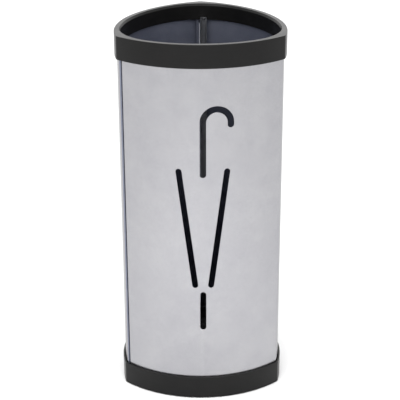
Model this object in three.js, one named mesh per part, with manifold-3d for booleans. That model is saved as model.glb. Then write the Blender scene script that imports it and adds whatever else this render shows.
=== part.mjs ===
// Umbrella stand: three curved sheet-steel panels held between a moulded top ring and a moulded base,
// with a channel post behind each corner seam and a lift-out drip tray.
// Millimetres, +Z up. The origin is on the floor, in the middle of the stand's box, and the cut-out panel
// faces -Y.
//
// The plan is an equilateral triangle whose three sides are arcs bulging outwards. A size called an inset
// is measured inwards from the outer face of the rings. Every piece is modelled about the triangle's own
// axis. Pieces that repeat are modelled once, for the front side or for the back corner, and turned.
import * as THREE from 'three';
import { mergeVertices } from 'three/addons/utils/BufferGeometryUtils.js';
import Module from 'manifold-3d';

const wasm = await Module();
wasm.setup();

// ---------------------------------------------------------------- driving dimensions: the whole stand
const HEIGHT = 600;
const CORNER_SPACING = 255.6;
const BULGE = 51.5;
const CORNER_RADIUS = 8;
const TOUCH_GAP = 0.3;

// top ring and base: an outer wall and an inner skirt with the panels standing between them
const TOP_RING_HEIGHT = 36.7;
const BASE_HEIGHT = 37.5;
const RING_WALL = 2.8;
const RING_PLATE = 3;
const RIM_WIDTH = 7.6;
const RIM_EDGE = 0.8;
const RIM_CHAMFER_WIDTH = 2;
const RIM_CHAMFER_DEPTH = 3.5;
const RIM_CORNER_WIDTH = 15.6;
const SKIRT_WALL = 3.2;
const TOP_SKIRT_DEPTH = 27;
const BASE_SKIRT_HEIGHT = 20;
const BASE_CLEARANCE = 1;
const BASE_FLOOR_RAISE = 4.5;
const TRAY_RIB_RADIUS = 60;
const TRAY_RIB_WIDTH = 3;
const TRAY_RIB_HEIGHT = 3.5;

// sheet panels
const SHEET = 1;
const PANEL_INSET = 3.9;
const BEND_RADIUS = 1.2;
const RETURN_LENGTH = 0.6;
const SEAM_GAP = 2.4;
const SEAM_FOOT_GAP = 0.4;
const LIP_LENGTH = 5;
const FLANGE_CLEARANCE = 1;

// corner posts: channels that open inwards, with a tab across each end
const POST_SHEET = 1.2;
const POST_CLEARANCE = 0.4;
const POST_SETBACK = 0.3;
const POST_NOTCH_DEPTH = 4;
const NOTCH_CLEARANCE = 0.5;

// screws, washers and feet
const SCREW_DIAMETER = 4;
const SCREW_LENGTH = 12;
const SCREW_HEAD_DIAMETER = 6.4;
const SCREW_HEAD_HEIGHT = 2.2;
const SCREW_SOCKET_WIDTH = 2.5;
const SCREW_SOCKET_DEPTH = 1.2;
const SCREW_CLEARANCE = 0.3;
const SCREW_HEAD_CLEARANCE = 0.5;
const BOSS_DIAMETER = 8;
const WASHER_DIAMETER = 9;
const WASHER_THICKNESS = 0.8;
const FOOT_FROM_CORNER = 43.2;
const FOOT_DIAMETER = 22;
const FOOT_STEM_DIAMETER = 6;
const FOOT_BARB_DIAMETER = 8.4;
const FOOT_BARB_HEIGHT = 2;
const FOOT_EDGE = 0.8;

// drip tray
const TRAY_CLEARANCE = 2.4;
const TRAY_HEIGHT = 26;
const TRAY_WALL = 1.8;
const TRAY_DRAFT = 1.6;
const TRAY_LIP = 1;

// cut-out umbrella, drawn on the flat sheet: across from the panel's centre line, and height above the floor
const SIGN_ACROSS = 2.6;
const STEM_SLOT = 10;
const STEM_BOTTOM = 394.3;
const HOOK_RADIUS = 21.5;
const HOOK_CENTRE_HEIGHT = 477.7;
const HOOK_TIP_DROP = 3.4;
const CANOPY_SLOT = 9.4;
const CANOPY_TOP = 398.6;
const CANOPY_BOTTOM = 206;
const CANOPY_TOP_ACROSS = 37.5;
const CANOPY_BOTTOM_ACROSS = 12.6;
const FERRULE_SLOT = 9.7;
const FERRULE_TOP = 188.8;
const FERRULE_BOTTOM = 131.2;

// smoothness
const SIDE_STEPS = 24;
const CORNER_STEPS = 4;
const BEND_STEPS = 4;
const ROUND_STEPS = 16;
const SLOT_LENGTH_STEPS = 4;

// ---------------------------------------------------------------- derived sizes
const SIDE_RADIUS = (CORNER_SPACING ** 2 / 4 + BULGE ** 2) / (2 * BULGE);
const SIDE_CENTRE_OFFSET = SIDE_RADIUS - BULGE - CORNER_SPACING / (2 * Math.sqrt(3));
const THIRD_TURN = (2 * Math.PI) / 3;
const DIRECTIONS = outlineDirections();

// The opening's corners are rounded until the rim is RIM_CORNER_WIDTH wide there.
const CORNER_FROM_AXIS = cornerReach(SIDE_RADIUS - CORNER_RADIUS) + CORNER_RADIUS;
const OPENING_REACH = CORNER_FROM_AXIS - RIM_CORNER_WIDTH;
const OPENING_CORNER_RADIUS = radiusReaching(OPENING_REACH, SIDE_RADIUS - RIM_WIDTH);
const SKIRT_INNER_INSET = RIM_WIDTH + RIM_CHAMFER_WIDTH;
const SKIRT_OUTER_INSET = SKIRT_INNER_INSET - SKIRT_WALL;
const SKIRT_INNER_CORNER = OPENING_CORNER_RADIUS - RIM_CHAMFER_WIDTH;
const SKIRT_OUTER_CORNER = SKIRT_INNER_CORNER + SKIRT_WALL;

const RING_CEILING = HEIGHT - RING_PLATE;
const TOP_SKIRT_BOTTOM = HEIGHT - TOP_SKIRT_DEPTH;
const BASE_TOP = BASE_CLEARANCE + BASE_HEIGHT;
const FLOOR_BOTTOM = BASE_CLEARANCE + BASE_FLOOR_RAISE;
const FLOOR_TOP = FLOOR_BOTTOM + RING_PLATE;
const BASE_SKIRT_TOP = FLOOR_TOP + BASE_SKIRT_HEIGHT;

const PANEL_BOTTOM = FLOOR_TOP + TOUCH_GAP;
const PANEL_TOP = RING_CEILING - TOUCH_GAP;

// A panel's middle line in plan: the arc of its side, then the rounding at its right corner. Its flanges
// stand at two angles about the side's centre, both counted from the middle of the side they stand on. The
// flanges at a seam close in from SEAM_GAP at the face to SEAM_FOOT_GAP at their inner ends.
const SHEET_RADIUS = SIDE_RADIUS - PANEL_INSET - SHEET / 2;
const SHEET_CORNER = CORNER_RADIUS - PANEL_INSET - SHEET / 2;
const SHEET_REACH = cornerReach(SHEET_RADIUS - SHEET_CORNER);
const SHEET_HALF_ANGLE = halfAngle(SHEET_REACH);
const RETURN_FLANGE_ANGLE = (RETURN_LENGTH + BEND_RADIUS) / SHEET_RADIUS - SHEET_HALF_ANGLE;
const OWN_FLANGE_ANGLE = RETURN_FLANGE_ANGLE + (SEAM_GAP + SHEET) / SHEET_RADIUS;
const FLANGE_FOOT_ANGLE = RETURN_FLANGE_ANGLE + (SEAM_FOOT_GAP + SHEET) / SHEET_RADIUS;
const LIP_ANGLE = FLANGE_FOOT_ANGLE + LIP_LENGTH / SHEET_RADIUS;
const FLANGE_END_RADIUS = flangeEndRadius();

// The post's left wall stands beside the flange that the neighbouring panel turns in at the seam.
const POST_LEFT = flangeInnerEdge() + POST_CLEARANCE;
const POST_RIGHT = POST_LEFT + SCREW_HEAD_DIAMETER + 2 * (SCREW_HEAD_CLEARANCE + POST_SHEET);
const POST_MIDDLE = (POST_LEFT + POST_RIGHT) / 2;
const POST_BACK = panelFaceBehind(POST_RIGHT) - POST_CLEARANCE;
const POST_FRONT = cornerReach(SIDE_RADIUS - SKIRT_INNER_INSET - SKIRT_INNER_CORNER) + SKIRT_INNER_CORNER
  + POST_SETBACK;
const POST_BOTTOM = FLOOR_TOP + TOUCH_GAP;
const POST_TOP = TOP_SKIRT_BOTTOM + POST_NOTCH_DEPTH;
const SCREW_FROM_AXIS = POST_BACK - POST_SHEET - SCREW_HEAD_DIAMETER / 2 - SCREW_HEAD_CLEARANCE;

const SHANK_RADIUS = SCREW_DIAMETER / 2;
const SHANK_HOLE_RADIUS = SHANK_RADIUS + SCREW_CLEARANCE;
const FOOT_FROM_AXIS = CORNER_FROM_AXIS - FOOT_FROM_CORNER;
const TRAY_BOTTOM = FLOOR_TOP + TRAY_RIB_HEIGHT + TOUCH_GAP;

// ---------------------------------------------------------------- plan outlines
/** Distance from the axis to the centre of a corner circle that lies `gap` inside the side arcs. */
function cornerReach(gap) {
  return (Math.sqrt(4 * gap ** 2 - 3 * SIDE_CENTRE_OFFSET ** 2) - SIDE_CENTRE_OFFSET) / 2;
}

/** Radius of the corner circle, inside side arcs of the given radius, that reaches `reach` from the axis. */
function radiusReaching(reach, sideRadius) {
  const offset = SIDE_CENTRE_OFFSET;
  const excess = sideRadius ** 2 - reach ** 2 - reach * offset - offset ** 2;
  return excess / (2 * sideRadius - 2 * reach - offset);
}

/** Half the angle that a front side arc covers about its own centre, up to the corner circle. */
function halfAngle(reach) {
  return Math.atan2(reach * Math.cos(Math.PI / 6), SIDE_CENTRE_OFFSET + reach / 2);
}

/** Point of the front side arc of the given radius, `angle` to the right of its middle. */
function sidePoint(radius, angle) {
  return new THREE.Vector2(radius * Math.sin(angle), SIDE_CENTRE_OFFSET - radius * Math.cos(angle));
}

/** Point on the rounding at the front side's right corner. */
function cornerPoint(reach, cornerRadius, angle) {
  const x = reach * Math.cos(Math.PI / 6) + cornerRadius * Math.sin(angle);
  const y = -reach / 2 - cornerRadius * Math.cos(angle);
  return new THREE.Vector2(x, y);
}

function turned(point, angle) {
  return point.clone().rotateAround(new THREE.Vector2(), angle);
}

/** Directions from the axis to the points of every outline: even steps along the rings' outer face. */
function outlineDirections() {
  const reach = cornerReach(SIDE_RADIUS - CORNER_RADIUS);
  const half = halfAngle(reach);
  const points = [];
  for (let i = 0; i <= SIDE_STEPS; i += 1) {
    points.push(sidePoint(SIDE_RADIUS, half * ((2 * i) / SIDE_STEPS - 1)));
  }
  for (let i = 1; i < CORNER_STEPS; i += 1) {
    points.push(cornerPoint(reach, CORNER_RADIUS, half + ((THIRD_TURN - 2 * half) * i) / CORNER_STEPS));
  }
  const oneSide = points.map((p) => Math.atan2(p.y, p.x));
  return [0, 1, 2].flatMap((side) => oneSide.map((direction) => direction + side * THIRD_TURN));
}

/** Distance from the axis to an outline, in a direction from the axis. */
function outlineReach(direction, inset, cornerRadius) {
  const sixth = Math.PI / 3;
  const turnsFromFront = (direction + Math.PI / 2 + sixth) / THIRD_TURN;
  const fromMiddle = Math.abs((turnsFromFront - Math.floor(turnsFromFront)) * THIRD_TURN - sixth);
  const radius = SIDE_RADIUS - inset;
  const offset = SIDE_CENTRE_OFFSET;
  const sine = Math.sin(fromMiddle);
  const cosine = Math.cos(fromMiddle);
  const onSide = Math.sqrt(radius ** 2 - (offset * sine) ** 2) - offset * cosine;
  const aboutSideCentre = Math.atan2(onSide * sine, offset + onSide * cosine);
  const reach = cornerReach(radius - cornerRadius);
  if (aboutSideCentre <= halfAngle(reach)) {
    return onSide;
  }
  const fromCorner = sixth - fromMiddle;
  const across = reach * Math.sin(fromCorner);
  return reach * Math.cos(fromCorner) + Math.sqrt(cornerRadius ** 2 - across ** 2);
}

/** Closed plan outline at an inset, anticlockwise from the front side's left end. */
function planOutline(inset, cornerRadius) {
  return DIRECTIONS.map((direction) => {
    const reach = outlineReach(direction, inset, cornerRadius);
    return new THREE.Vector2(reach * Math.cos(direction), reach * Math.sin(direction));
  });
}

/** How far out a panel's inner face is, measured towards the back corner, at `across` to its right. */
function panelFaceBehind(across) {
  const radius = SIDE_RADIUS - PANEL_INSET - SHEET;
  const centreAcross = SIDE_CENTRE_OFFSET * Math.cos(Math.PI / 6);
  return Math.sqrt(radius ** 2 - (across + centreAcross) ** 2) - SIDE_CENTRE_OFFSET / 2;
}

/** Distance from the side's centre to the flanges' inner ends, so that the lip's end clears the skirt. */
function flangeEndRadius() {
  const skirtReach = cornerReach(SIDE_RADIUS - SKIRT_OUTER_INSET - SKIRT_OUTER_CORNER);
  const skirtCentre = new THREE.Vector2(-Math.cos(Math.PI / 6), -Math.sin(Math.PI / 6))
    .multiplyScalar(skirtReach);
  const sideCentre = new THREE.Vector2(0, SIDE_CENTRE_OFFSET);
  const direction = sidePoint(1, LIP_ANGLE).sub(sideCentre);
  const along = skirtCentre.clone().sub(sideCentre).dot(direction);
  const across = skirtCentre.clone().sub(sideCentre).cross(direction);
  return along + Math.sqrt((SKIRT_OUTER_CORNER + FLANGE_CLEARANCE) ** 2 - across ** 2);
}

/** How far to the right of the back corner the flange that ends the back right panel reaches. */
function flangeInnerEdge() {
  const angle = RETURN_FLANGE_ANGLE - SHEET / 2 / FLANGE_END_RADIUS;
  return turned(sidePoint(FLANGE_END_RADIUS, angle), 2 * THIRD_TURN).x;
}

// ---------------------------------------------------------------- solids
/** Closes loops of points into one surface: a tube that meets itself, or a body with flat ends. */
function loft(loops, closesOnItself) {
  const count = loops[0].length;
  const positions = loops.flat().flatMap((p) => [p.x, p.y, p.z]);
  const index = [];
  const spans = closesOnItself ? loops.length : loops.length - 1;
  for (let j = 0; j < spans; j += 1) {
    const low = j * count;
    const high = ((j + 1) % loops.length) * count;
    for (let i = 0; i < count; i += 1) {
      const next = (i + 1) % count;
      index.push(low + i, low + next, high + next);
      index.push(low + i, high + next, high + i);
    }
  }
  if (!closesOnItself) {
    const last = (loops.length - 1) * count;
    positions.push(0, 0, loops[0][0].z, 0, 0, loops.at(-1)[0].z);
    const firstCentre = positions.length / 3 - 2;
    for (let i = 0; i < count; i += 1) {
      const next = (i + 1) % count;
      index.push(firstCentre, next, i);
      index.push(firstCentre + 1, last + i, last + next);
    }
  }
  const geometry = new THREE.BufferGeometry();
  geometry.setAttribute('position', new THREE.Float32BufferAttribute(positions, 3));
  geometry.setIndex(index);
  geometry.computeVertexNormals();
  return geometry;
}

/** Loft over plan outlines; each row of the section is [inset, corner radius, height]. */
function planLoft(section, closesOnItself) {
  const loops = section.map(([inset, cornerRadius, z]) =>
    planOutline(inset, cornerRadius).map((p) => new THREE.Vector3(p.x, p.y, z)));
  return loft(loops, closesOnItself);
}

function toSolid(geometry) {
  const bare = geometry.clone();
  bare.deleteAttribute('normal');
  bare.deleteAttribute('uv');
  const merged = mergeVertices(bare);
  const vertProperties = new Float32Array(merged.attributes.position.array);
  const triVerts = new Uint32Array(merged.index.array);
  return new wasm.Manifold(new wasm.Mesh({ numProp: 3, vertProperties, triVerts }));
}

function toGeometry(solid) {
  const mesh = solid.getMesh();
  const geometry = new THREE.BufferGeometry();
  geometry.setAttribute('position', new THREE.Float32BufferAttribute(mesh.vertProperties, 3));
  geometry.setIndex([...mesh.triVerts]);
  geometry.computeVertexNormals();
  return geometry;
}

/** Upright cylinder about (x, y) from one height to another. */
function rod(x, y, radius, bottom, top) {
  const geometry = new THREE.CylinderGeometry(radius, radius, top - bottom, ROUND_STEPS);
  geometry.rotateX(Math.PI / 2);
  geometry.translate(x, y, (bottom + top) / 2);
  return toSolid(geometry);
}

function block(left, right, front, back, bottom, top) {
  const geometry = new THREE.BoxGeometry(right - left, back - front, top - bottom);
  geometry.translate((left + right) / 2, (front + back) / 2, (bottom + top) / 2);
  return toSolid(geometry);
}

/** Turns a solid made for the back corner to each of the three corners. */
function atCorners(makeSolid) {
  const solids = [];
  for (let corner = 0; corner < 3; corner += 1) {
    const geometry = toGeometry(makeSolid());
    geometry.rotateZ(corner * THIRD_TURN);
    solids.push(toSolid(geometry));
  }
  return solids;
}

/** Lathe about Z through [radius, height] pairs that start and end on the axis or meet. */
function latheAboutZ(pairs) {
  const geometry = new THREE.LatheGeometry(pairs.map(([r, z]) => new THREE.Vector2(r, z)), ROUND_STEPS);
  geometry.rotateX(Math.PI / 2);
  return geometry;
}

// ---------------------------------------------------------------- strips of sheet and slots
/** Replaces the corner at `vertex` by an arc of the given radius. */
function bend(before, vertex, after, radius) {
  const into = vertex.clone().sub(before).normalize();
  const out = after.clone().sub(vertex).normalize();
  const turn = Math.atan2(into.cross(out), into.dot(out));
  const sense = Math.sign(turn);
  const start = vertex.clone().addScaledVector(into, -radius * Math.tan(Math.abs(turn) / 2));
  const centre = start.clone().add(new THREE.Vector2(-into.y, into.x).multiplyScalar(sense * radius));
  const points = [];
  for (let i = 0; i <= BEND_STEPS; i += 1) {
    points.push(start.clone().rotateAround(centre, (turn * i) / BEND_STEPS));
  }
  return points;
}

/** Path shifted to its left by `distance`, with mitred joints. */
function shifted(path, distance) {
  return path.map((p, i) => {
    const into = p.clone().sub(path[Math.max(i - 1, 0)]).normalize();
    const out = path[Math.min(i + 1, path.length - 1)].clone().sub(p).normalize();
    const along = into.add(out).normalize();
    const segment = (i > 0 ? p.clone().sub(path[i - 1]) : path[1].clone().sub(p)).normalize();
    const mitre = along.dot(segment);
    return p.clone().add(new THREE.Vector2(-along.y, along.x).multiplyScalar(distance / mitre));
  });
}

/** Outline of a strip of the given width along a path, with square or half-round ends. */
function strip(path, width, hasRoundEnds) {
  const left = shifted(path, width / 2);
  const right = shifted(path, -width / 2);
  const outline = [...left];
  if (hasRoundEnds) {
    outline.push(...roundEnd(path.at(-1), left.at(-1)));
  }
  outline.push(...right.reverse());
  if (hasRoundEnds) {
    outline.push(...roundEnd(path[0], right.at(-1)));
  }
  return outline;
}

function roundEnd(centre, start) {
  const points = [];
  for (let i = 1; i < 2 * BEND_STEPS; i += 1) {
    points.push(start.clone().rotateAround(centre, (-Math.PI * i) / (2 * BEND_STEPS)));
  }
  return points;
}

function extruded(outline, bottom, top) {
  const shape = new THREE.Shape(outline);
  const geometry = new THREE.ExtrudeGeometry(shape, { depth: top - bottom, bevelEnabled: false });
  geometry.translate(0, 0, bottom);
  return geometry;
}

// ---------------------------------------------------------------- panels
/**
 * Middle line of a panel's sheet in plan. From the left: a lip, the flange at its own seam, the arc of
 * the side, the bend round the right corner, a short return and the flange at the next seam.
 */
function panelPath() {
  const lipRadius = FLANGE_END_RADIUS + SHEET / 2;
  const lipEnd = sidePoint(lipRadius, LIP_ANGLE);
  const ownInner = sidePoint(lipRadius, FLANGE_FOOT_ANGLE);
  const ownOuter = sidePoint(SHEET_RADIUS, OWN_FLANGE_ANGLE);
  const returnOuter = turned(sidePoint(SHEET_RADIUS, RETURN_FLANGE_ANGLE), THIRD_TURN);
  const returnInner = turned(sidePoint(FLANGE_END_RADIUS, RETURN_FLANGE_ANGLE), THIRD_TURN);

  const body = [];
  for (let i = 1; i <= SIDE_STEPS; i += 1) {
    const angle = OWN_FLANGE_ANGLE + ((SHEET_HALF_ANGLE - OWN_FLANGE_ANGLE) * i) / SIDE_STEPS;
    body.push(sidePoint(SHEET_RADIUS, angle));
  }
  for (let i = 1; i <= BEND_STEPS; i += 1) {
    const angle = SHEET_HALF_ANGLE + ((THIRD_TURN - 2 * SHEET_HALF_ANGLE) * i) / BEND_STEPS;
    body.push(cornerPoint(SHEET_REACH, SHEET_CORNER, angle));
  }
  return [
    lipEnd,
    ...bend(lipEnd, ownInner, ownOuter, BEND_RADIUS),
    ...bend(ownInner, ownOuter, body[0], BEND_RADIUS),
    ...body,
    ...bend(body.at(-1), returnOuter, returnInner, BEND_RADIUS),
    returnInner,
  ];
}

/** Straight run on the flat sheet, in equal steps so that it can follow the curve. */
function run(fromAcross, fromHeight, toAcross, toHeight) {
  const from = new THREE.Vector2(fromAcross, fromHeight);
  const to = new THREE.Vector2(toAcross, toHeight);
  const points = [];
  for (let i = 0; i <= SLOT_LENGTH_STEPS; i += 1) {
    points.push(from.clone().lerp(to, i / SLOT_LENGTH_STEPS));
  }
  return points;
}

/** Middle line of the handle: a straight stem, a half-circle hook and a short drop at its tip. */
function handlePath() {
  const hookMiddle = SIGN_ACROSS + HOOK_RADIUS;
  const path = run(SIGN_ACROSS, STEM_BOTTOM, SIGN_ACROSS, HOOK_CENTRE_HEIGHT);
  for (let i = 1; i <= ROUND_STEPS; i += 1) {
    const angle = Math.PI * (1 - i / ROUND_STEPS);
    const across = hookMiddle + HOOK_RADIUS * Math.cos(angle);
    path.push(new THREE.Vector2(across, HOOK_CENTRE_HEIGHT + HOOK_RADIUS * Math.sin(angle)));
  }
  path.push(new THREE.Vector2(hookMiddle + HOOK_RADIUS, HOOK_CENTRE_HEIGHT - HOOK_TIP_DROP));
  return path;
}

function canopyPath(sense) {
  const bottom = SIGN_ACROSS + sense * CANOPY_BOTTOM_ACROSS;
  const top = SIGN_ACROSS + sense * CANOPY_TOP_ACROSS;
  return run(bottom, CANOPY_BOTTOM, top, CANOPY_TOP);
}

/** Tool for one slot: its flat outline rolled round the panel's arc, through the thickness of the sheet. */
function slotTool(path, width) {
  const reachThrough = 3 * SHEET;
  const geometry = extruded(strip(path, width, true), -reachThrough, reachThrough);
  const position = geometry.attributes.position;
  for (let i = 0; i < position.count; i += 1) {
    const flat = sidePoint(SHEET_RADIUS + position.getZ(i), position.getX(i) / SHEET_RADIUS);
    position.setXYZ(i, flat.x, flat.y, position.getY(i));
  }
  return toSolid(geometry);
}

function plainPanel() {
  return extruded(strip(panelPath(), SHEET, false), PANEL_BOTTOM, PANEL_TOP);
}

function signPanel() {
  return toGeometry(
    toSolid(plainPanel())
      .subtract(slotTool(handlePath(), STEM_SLOT))
      .subtract(slotTool(canopyPath(-1), CANOPY_SLOT))
      .subtract(slotTool(canopyPath(1), CANOPY_SLOT))
      .subtract(slotTool(run(SIGN_ACROSS, FERRULE_BOTTOM, SIGN_ACROSS, FERRULE_TOP), FERRULE_SLOT)));
}

// ---------------------------------------------------------------- rings
/** Room in a skirt for the post, between two heights. */
function postNotch(bottom, top) {
  const left = POST_LEFT - NOTCH_CLEARANCE;
  const right = POST_RIGHT + NOTCH_CLEARANCE;
  const front = POST_FRONT - 2 * SKIRT_WALL;
  return block(left, right, front, POST_BACK + NOTCH_CLEARANCE, bottom, top);
}

function topRing() {
  const outerBottom = HEIGHT - TOP_RING_HEIGHT;
  const body = planLoft([
    [0, CORNER_RADIUS, outerBottom + RIM_EDGE],
    [0, CORNER_RADIUS, HEIGHT - RIM_EDGE],
    [RIM_EDGE, CORNER_RADIUS - RIM_EDGE, HEIGHT],
    [RIM_WIDTH, OPENING_CORNER_RADIUS, HEIGHT],
    [SKIRT_INNER_INSET, SKIRT_INNER_CORNER, HEIGHT - RIM_CHAMFER_DEPTH],
    [SKIRT_INNER_INSET, SKIRT_INNER_CORNER, TOP_SKIRT_BOTTOM],
    [SKIRT_OUTER_INSET, SKIRT_OUTER_CORNER, TOP_SKIRT_BOTTOM],
    [SKIRT_OUTER_INSET, SKIRT_OUTER_CORNER, RING_CEILING],
    [RING_WALL, CORNER_RADIUS - RING_WALL, RING_CEILING],
    [RING_WALL, CORNER_RADIUS - RING_WALL, outerBottom],
    [RIM_EDGE, CORNER_RADIUS - RIM_EDGE, outerBottom],
  ], true);
  const bossBottom = POST_TOP + TOUCH_GAP;
  const bossTop = HEIGHT - RING_PLATE / 2;
  const holeTop = bossBottom + SCREW_LENGTH;
  const bosses = atCorners(() => rod(POST_MIDDLE, SCREW_FROM_AXIS, BOSS_DIAMETER / 2, bossBottom, bossTop));
  const holes = atCorners(() =>
    rod(POST_MIDDLE, SCREW_FROM_AXIS, SHANK_HOLE_RADIUS, POST_TOP - TOUCH_GAP, holeTop));
  const notches = atCorners(() => postNotch(TOP_SKIRT_BOTTOM - TOUCH_GAP, bossBottom));
  let solid = toSolid(body);
  for (const boss of bosses) {
    solid = solid.add(boss);
  }
  for (const cut of [...notches, ...holes]) {
    solid = solid.subtract(cut);
  }
  return toGeometry(solid);
}

function trayRib() {
  const bottom = FLOOR_TOP - RING_PLATE / 2;
  const top = FLOOR_TOP + TRAY_RIB_HEIGHT;
  const outer = TRAY_RIB_RADIUS + TRAY_RIB_WIDTH / 2;
  const inner = TRAY_RIB_RADIUS - TRAY_RIB_WIDTH / 2;
  return toSolid(latheAboutZ([
    [inner, bottom],
    [outer, bottom],
    [outer, top],
    [inner, top],
    [inner, bottom],
  ]));
}

function baseRing() {
  const body = planLoft([
    [RING_WALL, CORNER_RADIUS - RING_WALL, FLOOR_BOTTOM],
    [RING_WALL, CORNER_RADIUS - RING_WALL, BASE_CLEARANCE],
    [RIM_EDGE, CORNER_RADIUS - RIM_EDGE, BASE_CLEARANCE],
    [0, CORNER_RADIUS, BASE_CLEARANCE + RIM_EDGE],
    [0, CORNER_RADIUS, BASE_TOP - RIM_EDGE],
    [RIM_EDGE, CORNER_RADIUS - RIM_EDGE, BASE_TOP],
    [RING_WALL, CORNER_RADIUS - RING_WALL, BASE_TOP - RIM_EDGE],
    [RING_WALL, CORNER_RADIUS - RING_WALL, FLOOR_TOP],
    [SKIRT_OUTER_INSET, SKIRT_OUTER_CORNER, FLOOR_TOP],
    [SKIRT_OUTER_INSET, SKIRT_OUTER_CORNER, BASE_SKIRT_TOP],
    [SKIRT_INNER_INSET, SKIRT_INNER_CORNER, BASE_SKIRT_TOP],
    [SKIRT_INNER_INSET, SKIRT_INNER_CORNER, FLOOR_TOP],
  ], false);
  const below = FLOOR_BOTTOM - RING_PLATE;
  const above = FLOOR_TOP + RING_PLATE;
  const notches = atCorners(() => postNotch(FLOOR_TOP, BASE_SKIRT_TOP + TOUCH_GAP));
  const screwHoles = atCorners(() => rod(POST_MIDDLE, SCREW_FROM_AXIS, SHANK_HOLE_RADIUS, below, above));
  const footHole = FOOT_STEM_DIAMETER / 2 + TOUCH_GAP;
  const footHoles = atCorners(() => rod(0, FOOT_FROM_AXIS, footHole, below, above));
  let solid = toSolid(body).add(trayRib());
  for (const cut of [...notches, ...screwHoles, ...footHoles]) {
    solid = solid.subtract(cut);
  }
  return toGeometry(solid);
}

// ---------------------------------------------------------------- posts and fasteners, for the back corner
function cornerPost() {
  const half = POST_SHEET / 2;
  const frontLeft = new THREE.Vector2(POST_LEFT + half, POST_FRONT);
  const backLeft = new THREE.Vector2(POST_LEFT + half, POST_BACK - half);
  const backRight = new THREE.Vector2(POST_RIGHT - half, POST_BACK - half);
  const frontRight = new THREE.Vector2(POST_RIGHT - half, POST_FRONT);
  const path = [
    frontLeft,
    ...bend(frontLeft, backLeft, backRight, POST_SHEET),
    ...bend(backLeft, backRight, frontRight, POST_SHEET),
    frontRight,
  ];
  const channel = toSolid(extruded(strip(path, POST_SHEET, false), POST_BOTTOM, POST_TOP));
  const left = POST_LEFT + half;
  const right = POST_RIGHT - half;
  const back = POST_BACK - half;
  const lowTab = block(left, right, POST_FRONT, back, POST_BOTTOM, POST_BOTTOM + POST_SHEET);
  const highTab = block(left, right, POST_FRONT, back, POST_TOP - POST_SHEET, POST_TOP);
  const lowHole = rod(POST_MIDDLE, SCREW_FROM_AXIS, SHANK_HOLE_RADIUS, 0, POST_BOTTOM + 2 * POST_SHEET);
  const highHole = rod(POST_MIDDLE, SCREW_FROM_AXIS, SHANK_HOLE_RADIUS, POST_TOP - 2 * POST_SHEET, HEIGHT);
  return toGeometry(channel.add(lowTab).add(highTab).subtract(lowHole).subtract(highHole));
}

/** Screw with its head down, from the underside of its head at height 0 to the tip. */
function screw() {
  const headRadius = SCREW_HEAD_DIAMETER / 2;
  const body = toSolid(latheAboutZ([
    [0, -SCREW_HEAD_HEIGHT],
    [headRadius * 0.7, -SCREW_HEAD_HEIGHT],
    [headRadius, -SCREW_HEAD_HEIGHT * 0.6],
    [headRadius, 0],
    [SHANK_RADIUS, 0],
    [SHANK_RADIUS, SCREW_LENGTH - SHANK_RADIUS / 2],
    [SHANK_RADIUS / 2, SCREW_LENGTH],
    [0, SCREW_LENGTH],
  ]));
  const socketRadius = SCREW_SOCKET_WIDTH / 2;
  const socket = new THREE.CylinderGeometry(socketRadius, socketRadius, 2 * SCREW_SOCKET_DEPTH, 6);
  socket.rotateX(Math.PI / 2);
  socket.translate(0, 0, -SCREW_HEAD_HEIGHT);
  return toGeometry(body.subtract(toSolid(socket)));
}

function washer() {
  const outer = WASHER_DIAMETER / 2;
  const inner = SHANK_HOLE_RADIUS;
  return latheAboutZ([
    [inner, -WASHER_THICKNESS],
    [outer, -WASHER_THICKNESS],
    [outer, 0],
    [inner, 0],
    [inner, -WASHER_THICKNESS],
  ]);
}

/** Rubber foot: a pad under the floor, a stem through it and a barb that snaps over its top. */
function foot() {
  const pad = FOOT_DIAMETER / 2;
  const stem = FOOT_STEM_DIAMETER / 2;
  const barb = FOOT_BARB_DIAMETER / 2;
  const barbBottom = FLOOR_TOP + TOUCH_GAP;
  return latheAboutZ([
    [0, 0],
    [pad - FOOT_EDGE, 0],
    [pad, FOOT_EDGE],
    [pad, FLOOR_BOTTOM - TOUCH_GAP],
    [stem, FLOOR_BOTTOM - TOUCH_GAP],
    [stem, barbBottom],
    [barb, barbBottom],
    [stem, barbBottom + FOOT_BARB_HEIGHT],
    [0, barbBottom + FOOT_BARB_HEIGHT],
  ]);
}

// ---------------------------------------------------------------- drip tray
function dripTray() {
  const inset = SKIRT_INNER_INSET + TRAY_CLEARANCE;
  const corner = SKIRT_INNER_CORNER - TRAY_CLEARANCE;
  const top = TRAY_BOTTOM + TRAY_HEIGHT;
  const wallInset = inset + TRAY_LIP;
  const wallCorner = corner - TRAY_LIP;
  return planLoft([
    [wallInset + TRAY_DRAFT, wallCorner - TRAY_DRAFT, TRAY_BOTTOM],
    [wallInset, wallCorner, top - TRAY_WALL],
    [inset, corner, top - TRAY_WALL],
    [inset, corner, top],
    [wallInset + TRAY_WALL, wallCorner - TRAY_WALL, top],
    [wallInset + TRAY_WALL + TRAY_DRAFT, wallCorner - TRAY_WALL - TRAY_DRAFT, TRAY_BOTTOM + TRAY_WALL],
  ], false);
}

// ---------------------------------------------------------------- finishes
function finish(colour, roughness, metalness) {
  return new THREE.MeshStandardMaterial({ color: colour, roughness, metalness });
}

const BLACK_PLASTIC = finish(0x2c2c2c, 0.55, 0);
const TRAY_PLASTIC = finish(0x35363a, 0.6, 0);
const GREY_ENAMEL = finish(0xbcbcc2, 0.42, 0.35);
const ZINC_STEEL = finish(0x9a9ea6, 0.45, 0.9);
const SCREW_STEEL = finish(0xa8aab0, 0.35, 1);
const BLACK_RUBBER = finish(0x1d1d1d, 0.85, 0);

// ---------------------------------------------------------------- assembly
const FRONT_FROM_AXIS = SIDE_RADIUS - SIDE_CENTRE_OFFSET;
const stand = new THREE.Group();
stand.position.y = (FRONT_FROM_AXIS - CORNER_FROM_AXIS) / 2;

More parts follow.
